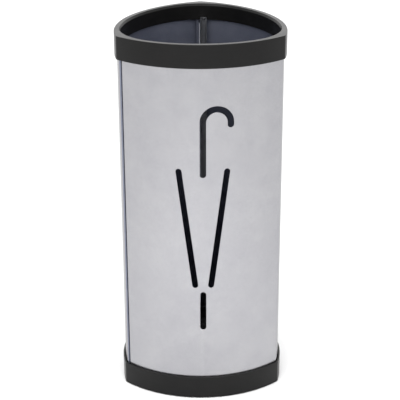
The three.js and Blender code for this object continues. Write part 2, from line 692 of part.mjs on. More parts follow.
function place(name, geometry, material, turns = 0, position = [0, 0, 0]) {
  const mesh = new THREE.Mesh(geometry, material);
  mesh.name = name;
  mesh.position.set(...position);
  const holder = new THREE.Group();
  holder.rotation.z = turns * THIRD_TURN;
  holder.add(mesh);
  stand.add(holder);
}

place('top_ring', topRing(), BLACK_PLASTIC);
place('base_ring', baseRing(), BLACK_PLASTIC);
place('drip_tray', dripTray(), TRAY_PLASTIC);

place('panel_front', signPanel(), GREY_ENAMEL, 0);
place('panel_back_right', plainPanel(), GREY_ENAMEL, 1);
place('panel_back_left', plainPanel(), GREY_ENAMEL, 2);

const CORNERS = ['back', 'front_left', 'front_right'];
CORNERS.forEach((corner, turns) => {
  const topScrewSeat = POST_TOP - POST_SHEET - TOUCH_GAP;
  const washerSeat = FLOOR_BOTTOM - TOUCH_GAP;
  const baseScrewSeat = washerSeat - WASHER_THICKNESS - TOUCH_GAP;
  place(`corner_post_${corner}`, cornerPost(), ZINC_STEEL, turns);
  place(`top_screw_${corner}`, screw(), SCREW_STEEL, turns, [POST_MIDDLE, SCREW_FROM_AXIS, topScrewSeat]);
  place(`base_screw_${corner}`, screw(), SCREW_STEEL, turns, [POST_MIDDLE, SCREW_FROM_AXIS, baseScrewSeat]);
  place(`base_washer_${corner}`, washer(), SCREW_STEEL, turns, [POST_MIDDLE, SCREW_FROM_AXIS, washerSeat]);
  place(`rubber_foot_${corner}`, foot(), BLACK_RUBBER, turns, [0, FOOT_FROM_AXIS, 0]);
});

export default stand;
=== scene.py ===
"""Umbrella stand: three bowed sheet-metal panels between a moulded rim and a moulded base.

Everything is in metres, +Z up, with the cut-out panel facing -Y. Each class below makes one sub-assembly
over the frame: its fields are the sizes, and its methods build the meshes and dress them.
"""
import logging
import math
from collections.abc import Callable, Iterable
from dataclasses import dataclass, field
from enum import Enum
from functools import cache, cached_property, partial

import bmesh
import bpy
from mathutils import Matrix, Vector
from mathutils.geometry import delaunay_2d_cdt


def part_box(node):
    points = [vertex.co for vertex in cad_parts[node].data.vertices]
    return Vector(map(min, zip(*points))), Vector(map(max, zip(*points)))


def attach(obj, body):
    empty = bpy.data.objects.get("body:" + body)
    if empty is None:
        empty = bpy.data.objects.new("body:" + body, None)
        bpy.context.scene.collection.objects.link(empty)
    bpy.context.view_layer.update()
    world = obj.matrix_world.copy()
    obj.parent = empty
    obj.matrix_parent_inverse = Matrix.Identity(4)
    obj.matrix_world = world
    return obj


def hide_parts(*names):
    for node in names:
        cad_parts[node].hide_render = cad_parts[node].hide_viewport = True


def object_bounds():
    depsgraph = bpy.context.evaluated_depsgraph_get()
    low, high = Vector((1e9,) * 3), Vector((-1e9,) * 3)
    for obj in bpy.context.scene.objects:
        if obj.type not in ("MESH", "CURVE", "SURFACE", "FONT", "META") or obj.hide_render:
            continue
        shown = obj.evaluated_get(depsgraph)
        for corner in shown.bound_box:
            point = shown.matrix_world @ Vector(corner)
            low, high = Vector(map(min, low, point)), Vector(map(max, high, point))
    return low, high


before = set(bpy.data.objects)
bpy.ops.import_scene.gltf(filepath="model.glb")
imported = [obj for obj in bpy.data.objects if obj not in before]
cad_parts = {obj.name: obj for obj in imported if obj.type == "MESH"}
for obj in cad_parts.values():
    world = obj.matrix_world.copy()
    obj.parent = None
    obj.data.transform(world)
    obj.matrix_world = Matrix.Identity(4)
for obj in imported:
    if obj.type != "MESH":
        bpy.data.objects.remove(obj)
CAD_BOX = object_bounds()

log = logging.getLogger("umbrella_stand")

THIRD_TURN = math.tau / 3
CORNERS = ("back", "front_left", "front_right")
MM = 0.001
AIM_SHARE = 0.6
MERGE_DISTANCE = 1e-7
KEEP_INSIDE = 1
CUT_TOLERANCE = 1e-4
FULL_WEIGHT = 100
# Places of a colour mix node's sockets.
MIX_UNDER, MIX_OVER, MIX_RESULT = 6, 7, 2

Point = tuple[float, float]
Face = tuple[int, ...]


@cache
def node_box(node: str) -> tuple[Vector, Vector]:
    """Lowest and highest corner of a frame node."""
    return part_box(node)


# ------------------------------------------------------------------------------------- mesh tools
class Join(Enum):
    """How one solid meets another."""

    ADD = "UNION"
    CUT = "DIFFERENCE"


def new_object(name: str, corners: Iterable[Vector], faces: list[Face]) -> bpy.types.Object:
    """Makes a mesh object with its faces turned outwards.

    Args:
        name: The piece's name.
        corners: Vertex places in metres.
        faces: Vertex numbers of each face.

    Returns:
        The object, linked to the scene.
    """
    mesh = bpy.data.meshes.new(name)
    mesh.from_pydata([tuple(c) for c in corners], [], faces)
    work = bmesh.new()
    work.from_mesh(mesh)
    bmesh.ops.remove_doubles(work, verts=work.verts, dist=MERGE_DISTANCE)
    bmesh.ops.recalc_face_normals(work, faces=work.faces)
    work.to_mesh(mesh)
    work.free()
    obj = bpy.data.objects.new(name, mesh)
    bpy.context.scene.collection.objects.link(obj)
    return obj


def settle(obj: bpy.types.Object) -> None:
    """Applies the object's modifiers to its mesh.

    Args:
        obj: The object.
    """
    graph = bpy.context.evaluated_depsgraph_get()
    made = bpy.data.meshes.new_from_object(obj.evaluated_get(graph))
    obj.modifiers.clear()
    obj.data = made


def combine(target: bpy.types.Object, tool: bpy.types.Object, how: Join) -> None:
    """Joins or cuts the target with a tool, and removes the tool.

    Args:
        target: The solid that is changed.
        tool: The solid that is used up.
        how: Whether the tool adds or cuts.
    """
    modifier = target.modifiers.new("join", "BOOLEAN")
    modifier.operation = how.value
    modifier.solver = "EXACT"
    modifier.object = tool
    settle(target)
    bpy.data.objects.remove(tool)


def smooth(obj: bpy.types.Object, crease_degrees: float = 38.0) -> None:
    """Shades the object smooth, with creases where faces meet at more than the given angle.

    Args:
        obj: The object.
        crease_degrees: Angle above which an edge stays sharp.
    """
    for face in obj.data.polygons:
        face.use_smooth = True
    obj.data.set_sharp_from_angle(angle=math.radians(crease_degrees))
    weighted = obj.modifiers.new("weighted normals", "WEIGHTED_NORMAL")
    weighted.keep_sharp = True
    weighted.weight = FULL_WEIGHT
    settle(obj)


def rounded_path(points: list[tuple[float, float, float]], closed: bool, steps: int) -> list[Point]:
    """Rounds the corners of a path.

    Args:
        points: Corner places and the radius at each corner.
        closed: Whether the last corner joins the first.
        steps: Segments in each rounded corner.

    Returns:
        The path's points, in order.
    """
    made: list[Point] = []
    count = len(points)
    for i, (x, y, radius) in enumerate(points):
        is_end = not closed and i in (0, count - 1)
        if radius <= 0 or is_end:
            made.append((x, y))
            continue
        here = Vector((x, y))
        into = (here - Vector(points[i - 1][:2])).normalized()
        out = (Vector(points[(i + 1) % count][:2]) - here).normalized()
        turn = math.atan2(into.cross(out), into.dot(out))
        back_off = radius * math.tan(abs(turn) / 2)
        start = here - into * back_off
        side = math.copysign(radius, turn)
        centre = start + Vector((-into.y, into.x)) * side
        arm = start - centre
        for step in range(steps + 1):
            swung = arm.copy()
            swung.rotate(Matrix.Rotation(turn * step / steps, 2))
            made.append(tuple(centre + swung))
    return made


def loft(name: str, loops: list[list[Vector]], closed: bool) -> bpy.types.Object:
    """Skins a row of loops that have equal counts.

    Args:
        name: The piece's name.
        loops: Closed loops of points.
        closed: True joins the last loop to the first; False closes both ends with a fan.

    Returns:
        The object.
    """
    count = len(loops[0])
    corners = [corner for loop in loops for corner in loop]
    faces: list[Face] = []
    spans = len(loops) if closed else len(loops) - 1
    for j in range(spans):
        low, high = j * count, (j + 1) % len(loops) * count
        for i in range(count):
            following = (i + 1) % count
            faces.append((low + i, low + following, high + following, high + i))
    if not closed:
        for start in (0, (len(loops) - 1) * count):
            loop = corners[start:start + count]
            corners.append(sum(loop, Vector((0, 0, 0))) / count)
            centre = len(corners) - 1
            faces += [(centre, start + i, start + (i + 1) % count) for i in range(count)]
    return new_object(name, corners, faces)


def lathe(name: str, profile: list[Point], centre: Vector, steps: int, closed: bool) -> bpy.types.Object:
    """Turns a profile of (radius, height) pairs about an upright line.

    Args:
        name: The piece's name.
        profile: Radius and height above the centre, in order.
        centre: Foot of the upright line.
        steps: Segments round the line.
        closed: True for a ring whose profile joins itself; False closes both ends.

    Returns:
        The object.
    """
    loops = []
    for radius, height in profile:
        angles = (math.tau * i / steps for i in range(steps))
        loops.append([centre + Vector((radius * math.cos(a), radius * math.sin(a), height)) for a in angles])
    return loft(name, loops, closed)


def cylinder(centre: Vector, radius: float, bottom: float, top: float, steps: int = 40) -> bpy.types.Object:
    """Upright cutting cylinder about a centre, from one height to another."""
    foot = Vector((centre.x, centre.y, 0.0))
    return lathe("tool", [(radius, bottom), (radius, top)], foot, steps, closed=False)


def block(low: Vector, high: Vector) -> bpy.types.Object:
    """Box between two opposite corners, for cutting and joining.

    Args:
        low: Lowest corner.
        high: Highest corner.

    Returns:
        The box.
    """
    xs, ys, zs = zip(low, high)
    corners = [Vector((x, y, z)) for z in zs for y in ys for x in xs]
    faces = [(0, 1, 3, 2), (4, 5, 7, 6), (0, 1, 5, 4), (2, 3, 7, 6), (0, 2, 6, 4), (1, 3, 7, 5)]
    return new_object("tool", corners, faces)


# ------------------------------------------------------------------------------------- plan shape
class Family(Enum):
    """The two nested shapes that every plan outline follows."""

    OUTSIDE = "small corners, concentric with the outer wall's"
    MOUTH = "wide corners, concentric with the mouth's"


@dataclass(frozen=True)
class Plan:
    """Triangle with bowed sides. An inset is measured inwards from the outer face of the mouldings."""

    corner_spacing: float = 0.2556
    bulge: float = 0.0515
    corner_radius: float = 0.008
    rim_width: float = 0.0076
    rim_corner_width: float = 0.0156
    side_steps: int = 96
    corner_steps: int = 12

    @cached_property
    def side_radius(self) -> float:
        """Radius of the outer side arcs."""
        return (self.corner_spacing ** 2 / 4 + self.bulge ** 2) / (2 * self.bulge)

    @cached_property
    def centre_offset(self) -> float:
        """Distance from the upright axis to the centre of a side arc."""
        return self.side_radius - self.bulge - self.corner_spacing / (2 * math.sqrt(3))

    @cached_property
    def axis_y(self) -> float:
        """Where the upright axis stands in the frame, which is centred on the stand's box."""
        low, _ = node_box("top_ring")
        return low.y + self.side_radius - self.centre_offset

    @cached_property
    def mouth_corner(self) -> float:
        """Corner radius of the rim's inner edge, which makes the rim its full width at the corners.

        Returns:
            The radius.
        """
        from_axis = self.corner_reach(self.side_radius - self.corner_radius) + self.corner_radius
        reach = from_axis - self.rim_corner_width
        side, offset = self.side_radius - self.rim_width, self.centre_offset
        excess = side ** 2 - reach ** 2 - reach * offset - offset ** 2
        return excess / (2 * side - 2 * reach - offset)

    def corner_reach(self, gap: float) -> float:
        """Distance from the axis to the centre of a corner circle that lies `gap` inside the side arcs."""
        return (math.sqrt(4 * gap ** 2 - 3 * self.centre_offset ** 2) - self.centre_offset) / 2

    def half_angle(self, reach: float) -> float:
        """Half the angle that a side arc covers about its own centre."""
        return math.atan2(reach * math.cos(math.pi / 6), self.centre_offset + reach / 2)

    def corner(self, family: Family, inset: float) -> float:
        """Corner radius of an outline.

        Args:
            family: Which family the outline follows.
            inset: Distance inwards.

        Returns:
            The radius.
        """
        if family is Family.OUTSIDE:
            return self.corner_radius - inset
        return self.mouth_corner + self.rim_width - inset

    def side_point(self, radius: float, angle: float) -> Vector:
        """Point of the front side's arc, about the axis, `angle` to the right of its middle."""
        return Vector((radius * math.sin(angle), self.centre_offset - radius * math.cos(angle)))

    def corner_point(self, reach: float, radius: float, angle: float) -> Vector:
        """Point on the rounding at the front side's right corner, about the axis."""
        x = reach * math.cos(math.pi / 6) + radius * math.sin(angle)
        return Vector((x, -reach / 2 - radius * math.cos(angle)))

    @cached_property
    def directions(self) -> list[float]:
        """Directions from the axis to every outline's points.

        Returns:
            Angles in order, round the whole plan.
        """
        reach = self.corner_reach(self.side_radius - self.corner_radius)
        half = self.half_angle(reach)
        steps = self.side_steps
        points = [self.side_point(self.side_radius, half * (2 * i / steps - 1)) for i in range(steps + 1)]
        for i in range(1, self.corner_steps):
            angle = half + (THIRD_TURN - 2 * half) * i / self.corner_steps
            points.append(self.corner_point(reach, self.corner_radius, angle))
        one_side = [math.atan2(p.y, p.x) for p in points]
        return [direction + side * THIRD_TURN for side in range(3) for direction in one_side]

    def reach(self, direction: float, family: Family, inset: float) -> float:
        """Distance from the axis to an outline in one direction.

        Args:
            direction: Angle from +X about the axis.
            family: Which family the outline follows.
            inset: Distance inwards.

        Returns:
            The distance.
        """
        sixth = math.pi / 3
        turns = (direction + math.pi / 2 + sixth) / THIRD_TURN
        from_middle = abs((turns - math.floor(turns)) * THIRD_TURN - sixth)
        radius, offset = self.side_radius - inset, self.centre_offset
        sine, cosine = math.sin(from_middle), math.cos(from_middle)
        on_side = math.sqrt(radius ** 2 - (offset * sine) ** 2) - offset * cosine
        about_centre = math.atan2(on_side * sine, offset + on_side * cosine)
        corner = self.corner(family, inset)
        corner_reach = self.corner_reach(radius - corner)
        if about_centre <= self.half_angle(corner_reach):
            return on_side
        from_corner = sixth - from_middle
        across = corner_reach * math.sin(from_corner)
        return corner_reach * math.cos(from_corner) + math.sqrt(corner ** 2 - across ** 2)

    def loop(self, family: Family, inset: float, height: float) -> list[Vector]:
        """Closed outline in the frame.

        Args:
            family: Which family the outline follows.
            inset: Distance inwards.
            height: Height of the outline.

        Returns:
            The outline's points in order.
        """
        made = []
        for direction in self.directions:
            reach = self.reach(direction, family, inset)
            x, y = reach * math.cos(direction), reach * math.sin(direction)
            made.append(Vector((x, y + self.axis_y, height)))
        return made

    def turned(self, point: Vector, turns: int) -> Vector:
        """Point of the frame turned about the axis by some third turns."""
        axis = Vector((0, self.axis_y, 0))
        return Matrix.Rotation(turns * THIRD_TURN, 4, "Z") @ (point - axis) + axis

    def turn_object(self, obj: bpy.types.Object, turns: int) -> bpy.types.Object:
        """Turns an object's mesh about the axis by some third turns.

        Args:
            obj: The object.
            turns: Third turns from the front or the back.

        Returns:
            The same object.
        """
        axis = Matrix.Translation((0, self.axis_y, 0))
        obj.data.transform(axis @ Matrix.Rotation(turns * THIRD_TURN, 4, "Z") @ axis.inverted())
        return obj


@dataclass(frozen=True)
class Turn:
    """One corner of a moulding's section: where it is, and how far it is rounded."""

    family: Family
    inset: float
    height: float
    radius: float = 0.0


def moulding(name: str, plan: Plan, section: list[Turn], closed: bool, steps: int = 4) -> bpy.types.Object:
    """Runs a section round the plan.

    Args:
        name: The piece's name.
        plan: The plan shape.
        section: The section's corners, in order.
        closed: True for an open ring; False fills the first and last outlines.
        steps: Segments in each rounded corner.

    Returns:
        The object.
    """
    loops = []
    count = len(section)
    for i, turn in enumerate(section):
        trio = [section[i - 1], turn, section[(i + 1) % count]]
        is_end = not closed and i in (0, count - 1)
        radius = 0.0 if is_end else turn.radius
        path = [(trio[0].inset, trio[0].height, 0.0), (turn.inset, turn.height, radius),
                (trio[2].inset, trio[2].height, 0.0)]
        for inset, height in rounded_path(path, False, steps)[1:-1]:
            loops.append(plan.loop(turn.family, inset, height))
    return loft(name, loops, closed)


# ------------------------------------------------------------------------------------- shader groups
class Socket(Enum):
    """Kinds of socket on a shader group."""

    NUMBER = "NodeSocketFloat"
    PLACE = "NodeSocketVector"


def noise(tree: bpy.types.NodeTree, place: bpy.types.NodeSocket, scale: float, detail: float = 2.0,
          roughness: float = 0.5) -> bpy.types.Node:
    """Adds a noise texture at a place.

    Args:
        tree: The nodes to add to.
        place: Where the texture is read.
        scale: Features per metre, roughly.
        detail: Octaves.
        roughness: Strength of the finer octaves.

    Returns:
        The texture node.
    """
    node = tree.nodes.new("ShaderNodeTexNoise")
    node.inputs["Scale"].default_value = scale
    node.inputs["Detail"].default_value = detail
    node.inputs["Roughness"].default_value = roughness
    tree.links.new(place, node.inputs["Vector"])
    return node


def remap(tree: bpy.types.NodeTree, value: bpy.types.NodeSocket, low: float, high: float,
          to_low: float = 0.0, to_high: float = 1.0) -> bpy.types.NodeSocket:
    """Adds a clamped change of range.

    Args:
        tree: The nodes to add to.
        value: The value to change.
        low: Value that becomes `to_low`.
        high: Value that becomes `to_high`.
        to_low: Lowest result.
        to_high: Highest result.

    Returns:
        The result.
    """
    node = tree.nodes.new("ShaderNodeMapRange")
    for label, number in zip(("From Min", "From Max", "To Min", "To Max"), (low, high, to_low, to_high)):
        node.inputs[label].default_value = number
    tree.links.new(value, node.inputs["Value"])
    return node.outputs["Result"]


def math_node(tree: bpy.types.NodeTree, operation: str, first: bpy.types.NodeSocket | float,
              second: bpy.types.NodeSocket | float) -> bpy.types.NodeSocket:
    """Adds a maths node over two sockets or numbers.

    Args:
        tree: The nodes to add to.
        operation: The node's operation.
        first: First socket or number.
        second: Second socket or number.

    Returns:
        The result.
    """
    node = tree.nodes.new("ShaderNodeMath")
    node.operation = operation
    for slot, value in zip(node.inputs, (first, second)):
        if isinstance(value, bpy.types.NodeSocket):
            tree.links.new(value, slot)
        else:
            slot.default_value = value
    return node.outputs["Value"]


def fill_grain(tree: bpy.types.NodeTree, start: bpy.types.Node, end: bpy.types.Node) -> None:
    """Fine grain of a moulded or sprayed surface: a height, and an even tone about one half.

    Args:
        tree: The group's nodes.
        start: Its input node.
        end: Its output node.
    """
    scaled = tree.nodes.new("ShaderNodeVectorMath")
    scaled.operation = "SCALE"
    tree.links.new(start.outputs["Place"], scaled.inputs[0])
    tree.links.new(start.outputs["Grains per metre"], scaled.inputs["Scale"])
    pits = tree.nodes.new("ShaderNodeTexVoronoi")
    pits.inputs["Scale"].default_value = 1.0
    tree.links.new(scaled.outputs["Vector"], pits.inputs["Vector"])
    fine = noise(tree, scaled.outputs["Vector"], scale=1.7, detail=3.0, roughness=0.65)
    both = math_node(tree, "ADD", pits.outputs["Distance"], fine.outputs["Fac"])
    share = 0.6
    tree.links.new(math_node(tree, "MULTIPLY", both, share), end.inputs["Height"])
    tree.links.new(remap(tree, fine.outputs["Fac"], 0.3, 0.7), end.inputs["Tone"])


def fill_patches(tree: bpy.types.NodeTree, start: bpy.types.Node, end: bpy.types.Node) -> None:
    """Broad, faint patches where a surface is wiped and handled.

    Args:
        tree: The group's nodes.
        start: Its input node.
        end: Its output node.
    """
    broad = noise(tree, start.outputs["Place"], scale=7.0, detail=4.0, roughness=0.6)
    smears = noise(tree, start.outputs["Place"], scale=31.0, detail=3.0, roughness=0.7)
    mixed = math_node(tree, "MULTIPLY", broad.outputs["Fac"], smears.outputs["Fac"])
    tree.links.new(remap(tree, mixed, 0.14, 0.36), end.inputs["Patches"])


def fill_wear(tree: bpy.types.NodeTree, start: bpy.types.Node, end: bpy.types.Node) -> None:
    """Rubbed outer edges, broken up by noise.

    Args:
        tree: The group's nodes.
        start: Its input node.
        end: Its output node.
    """
    shape = tree.nodes.new("ShaderNodeNewGeometry")
    sharp = remap(tree, shape.outputs["Pointiness"], 0.51, 0.60)
    broken = noise(tree, start.outputs["Place"], scale=240.0, detail=4.0, roughness=0.7)
    cover = remap(tree, broken.outputs["Fac"], 0.35, 0.65, to_low=0.2)
    tree.links.new(math_node(tree, "MULTIPLY", sharp, cover), end.inputs["Wear"])


def fill_dust(tree: bpy.types.NodeTree, start: bpy.types.Node, end: bpy.types.Node) -> None:
    """Thin dust on faces that look up.

    Args:
        tree: The group's nodes.
        start: Its input node.
        end: Its output node.
    """
    shape = tree.nodes.new("ShaderNodeNewGeometry")
    parts = tree.nodes.new("ShaderNodeSeparateXYZ")
    tree.links.new(shape.outputs["Normal"], parts.inputs["Vector"])
    upward = remap(tree, parts.outputs["Z"], 0.6, 1.0)
    specks = noise(tree, start.outputs["Place"], scale=900.0, detail=3.0, roughness=0.7)
    clouds = noise(tree, start.outputs["Place"], scale=18.0, detail=3.0)
    cover = math_node(tree, "MULTIPLY", specks.outputs["Fac"], clouds.outputs["Fac"])
    settled = remap(tree, cover, 0.16, 0.38)
    tree.links.new(math_node(tree, "MULTIPLY", upward, settled), end.inputs["Dust"])


@dataclass(frozen=True)
class SurfaceGroup:
    """A shader group that reads a place on the surface, and gives masks, tones or heights."""

    name: str
    fill: Callable[[bpy.types.NodeTree, bpy.types.Node, bpy.types.Node], None]
    outputs: tuple[str, ...]
    settings: tuple[str, ...] = ()

    def tree(self) -> bpy.types.NodeTree:
        """Makes the group once.

        Returns:
            The group.
        """
        if self.name in bpy.data.node_groups:
            return bpy.data.node_groups[self.name]
        group = bpy.data.node_groups.new(self.name, "ShaderNodeTree")
        sockets = [("Place", "INPUT", Socket.PLACE)]
        sockets += [(label, "INPUT", Socket.NUMBER) for label in self.settings]
        sockets += [(label, "OUTPUT", Socket.NUMBER) for label in self.outputs]
        for label, side, kind in sockets:
            group.interface.new_socket(label, in_out=side, socket_type=kind.value)
        self.fill(group, group.nodes.new("NodeGroupInput"), group.nodes.new("NodeGroupOutput"))
        return group


FINE_GRAIN = SurfaceGroup("fine grain", fill_grain, ("Height", "Tone"), ("Grains per metre",))
HANDLING_PATCHES = SurfaceGroup("handling patches", fill_patches, ("Patches",))
RUBBED_EDGES = SurfaceGroup("rubbed edges", fill_wear, ("Wear",))
SETTLED_DUST = SurfaceGroup("settled dust", fill_dust, ("Dust",))


# ------------------------------------------------------------------------------------- finishes
Colour = tuple[float, float, float]


@dataclass(frozen=True)
class Finish:
    """A surface finish: its colour, its gloss and the small things that vary over it."""

    name: str
    colour: Colour
    patch_colour: Colour
    roughness: float
    roughness_spread: float
    metallic: float = 0.0
    ior: float = 1.45
    grains_per_metre: float = 2500.0
    grain_depth: float = 0.00002
    grain_tone: float = 0.1
    wear_colour: Colour = (0.05, 0.05, 0.05)
    wear_amount: float = 0.3
    dust_colour: Colour = (0.35, 0.34, 0.33)
    dust_amount: float = 0.0
    specular: float = 0.5
    edge_tint: float = 1.0

    def material(self) -> bpy.types.Material:
        """Builds the node material once, and returns it.

        Returns:
            The material.
        """
        if self.name in bpy.data.materials:
            return bpy.data.materials[self.name]
        material = bpy.data.materials.new(self.name)
        material.use_nodes = True
        tree = material.node_tree
        shader = tree.nodes["Principled BSDF"]
        shader.inputs["Metallic"].default_value = self.metallic
        shader.inputs["IOR"].default_value = self.ior
        shader.inputs["Specular IOR Level"].default_value = self.specular
        shader.inputs["Specular Tint"].default_value = (self.edge_tint,) * 3 + (1.0,)
        place = tree.nodes.new("ShaderNodeTexCoord").outputs["Object"]

        grain = self.add_group(tree, FINE_GRAIN, place)
        grain.inputs["Grains per metre"].default_value = self.grains_per_metre
        patches = self.add_group(tree, HANDLING_PATCHES, place).outputs["Patches"]
        wear = self.add_group(tree, RUBBED_EDGES, place).outputs["Wear"]
        dust = self.add_group(tree, SETTLED_DUST, place).outputs["Dust"]

        colour = self.mix(tree, patches, self.colour, self.patch_colour)
        tone = remap(tree, grain.outputs["Tone"], 0.0, 1.0, 1 - self.grain_tone, 1 + self.grain_tone)
        scaled = tree.nodes.new("ShaderNodeVectorMath")
        scaled.operation = "SCALE"
        tree.links.new(colour, scaled.inputs[0])
        tree.links.new(tone, scaled.inputs["Scale"])
        colour = self.mix(tree, math_node(tree, "MULTIPLY", wear, self.wear_amount),
                          scaled.outputs["Vector"], self.wear_colour)
        colour = self.mix(tree, math_node(tree, "MULTIPLY", dust, self.dust_amount), colour, self.dust_colour)
        tree.links.new(colour, shader.inputs["Base Color"])

        low, high = self.roughness - self.roughness_spread, self.roughness + self.roughness_spread
        uneven = remap(tree, patches, 0.0, 1.0, low, high)
        polished = math_node(tree, "MULTIPLY", wear, -self.roughness_spread)
        tree.links.new(math_node(tree, "ADD", uneven, polished), shader.inputs["Roughness"])

        bump = tree.nodes.new("ShaderNodeBump")
        bump.inputs["Distance"].default_value = self.grain_depth
        tree.links.new(grain.outputs["Height"], bump.inputs["Height"])
        tree.links.new(bump.outputs["Normal"], shader.inputs["Normal"])
        return material

    def add_group(self, tree: bpy.types.NodeTree, group: SurfaceGroup,
                  place: bpy.types.NodeSocket) -> bpy.types.Node:
        """Places a shader group in the material, fed with the surface's place.

        Args:
            tree: The material's nodes.
            group: The group to place.
            place: The surface's place.

        Returns:
            The group's node.
        """
        node = tree.nodes.new("ShaderNodeGroup")
        node.node_tree = group.tree()
        tree.links.new(place, node.inputs["Place"])
        return node

    def mix(self, tree: bpy.types.NodeTree, mask: bpy.types.NodeSocket,
            under: bpy.types.NodeSocket | Colour, over: Colour) -> bpy.types.NodeSocket:
        """Lays one colour over another by a mask.

        Args:
            tree: The material's nodes.
            mask: 0 for the lower colour, 1 for the upper.
            under: The lower colour, as a socket or a constant.
            over: The upper colour.

        Returns:
            The mixed colour.
        """
        node = tree.nodes.new("ShaderNodeMix")
        node.data_type = "RGBA"
        tree.links.new(mask, node.inputs["Factor"])
        first, second = node.inputs[MIX_UNDER], node.inputs[MIX_OVER]
        if isinstance(under, bpy.types.NodeSocket):
            tree.links.new(under, first)
        else:
            first.default_value = (*under, 1.0)
        second.default_value = (*over, 1.0)
        return node.outputs[MIX_RESULT]


RIM_PLASTIC = Finish(
    name="textured_black_moulding", colour=(0.0026, 0.0025, 0.0025), patch_colour=(0.0036, 0.0034, 0.0033),
    roughness=0.34, roughness_spread=0.03, ior=1.45, specular=0.24, grains_per_metre=2200.0,
    grain_depth=0.000012, grain_tone=0.15, wear_colour=(0.03, 0.03, 0.03), wear_amount=0.35,
    dust_colour=(0.12, 0.115, 0.11), dust_amount=0.10)
TRAY_PLASTIC = Finish(
    name="dark_grey_moulding", colour=(0.016, 0.0165, 0.018), patch_colour=(0.02, 0.02, 0.021),
    roughness=0.5, roughness_spread=0.08, ior=1.45, grains_per_metre=1500.0, grain_depth=0.00002,
    grain_tone=0.12, wear_amount=0.2, dust_colour=(0.16, 0.155, 0.15), dust_amount=0.2)
SILVER_ENAMEL = Finish(
    name="silver_grey_enamel", colour=(0.335, 0.333, 0.352), patch_colour=(0.372, 0.370, 0.385),
    roughness=0.24, roughness_spread=0.03, metallic=0.95, grains_per_metre=1600.0, grain_depth=0.000006,
    grain_tone=0.035, wear_colour=(0.7, 0.7, 0.72), wear_amount=0.25, edge_tint=0.7)
# Darker, bluer copy of the silver enamel for the panels' inside faces: painted shade standing in for the
# stand's dim inside.
PAINTED_INSIDE_SHADE = Finish(
    name="enamel_with_painted_inside_shade", colour=(0.150, 0.163, 0.218), patch_colour=(0.175, 0.188, 0.240),
    roughness=0.36, roughness_spread=0.05, metallic=0.7, grains_per_metre=1600.0, grain_depth=0.000008,
    grain_tone=0.05, wear_colour=(0.4, 0.4, 0.42), wear_amount=0.2)
ZINC_PLATE = Finish(
    name="zinc_plate", colour=(0.16, 0.165, 0.18), patch_colour=(0.20, 0.205, 0.22),
    roughness=0.4, roughness_spread=0.1, metallic=1.0, grains_per_metre=500.0, grain_depth=0.000004,
    grain_tone=0.08, wear_colour=(0.6, 0.6, 0.6), wear_amount=0.3)
SCREW_PLATE = Finish(
    name="bright_screw_plate", colour=(0.52, 0.52, 0.54), patch_colour=(0.60, 0.60, 0.60),
    roughness=0.3, roughness_spread=0.08, metallic=1.0, grains_per_metre=3000.0, grain_depth=0.000003,
    grain_tone=0.06, wear_colour=(0.7, 0.7, 0.7), wear_amount=0.4)
FOOT_RUBBER = Finish(
    name="matt_black_rubber", colour=(0.011, 0.011, 0.011), patch_colour=(0.018, 0.018, 0.018),
    roughness=0.82, roughness_spread=0.06, ior=1.5, grains_per_metre=1800.0, grain_depth=0.00003,
    grain_tone=0.15, wear_colour=(0.04, 0.04, 0.04), wear_amount=0.5,
    dust_colour=(0.2, 0.19, 0.18), dust_amount=0.15)


def hand_over(obj: bpy.types.Object, body: str, slot: str, finish: Finish, *nodes: str) -> None:
    """Dresses a finished piece, puts it on its body in place of its nodes, and reports it.

    Args:
        obj: The piece.
        body: Body that it rides on.
        slot: Material slot of the record; not used.
        finish: Its surface finish.
        nodes: Frame nodes that it stands for.
    """
    obj.data.materials.clear()
    obj.data.materials.append(finish.material())
    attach(obj, body)
    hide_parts(*nodes)
    log.info("%s: %d faces, %s, on %s", obj.name, len(obj.data.polygons), finish.name, body)


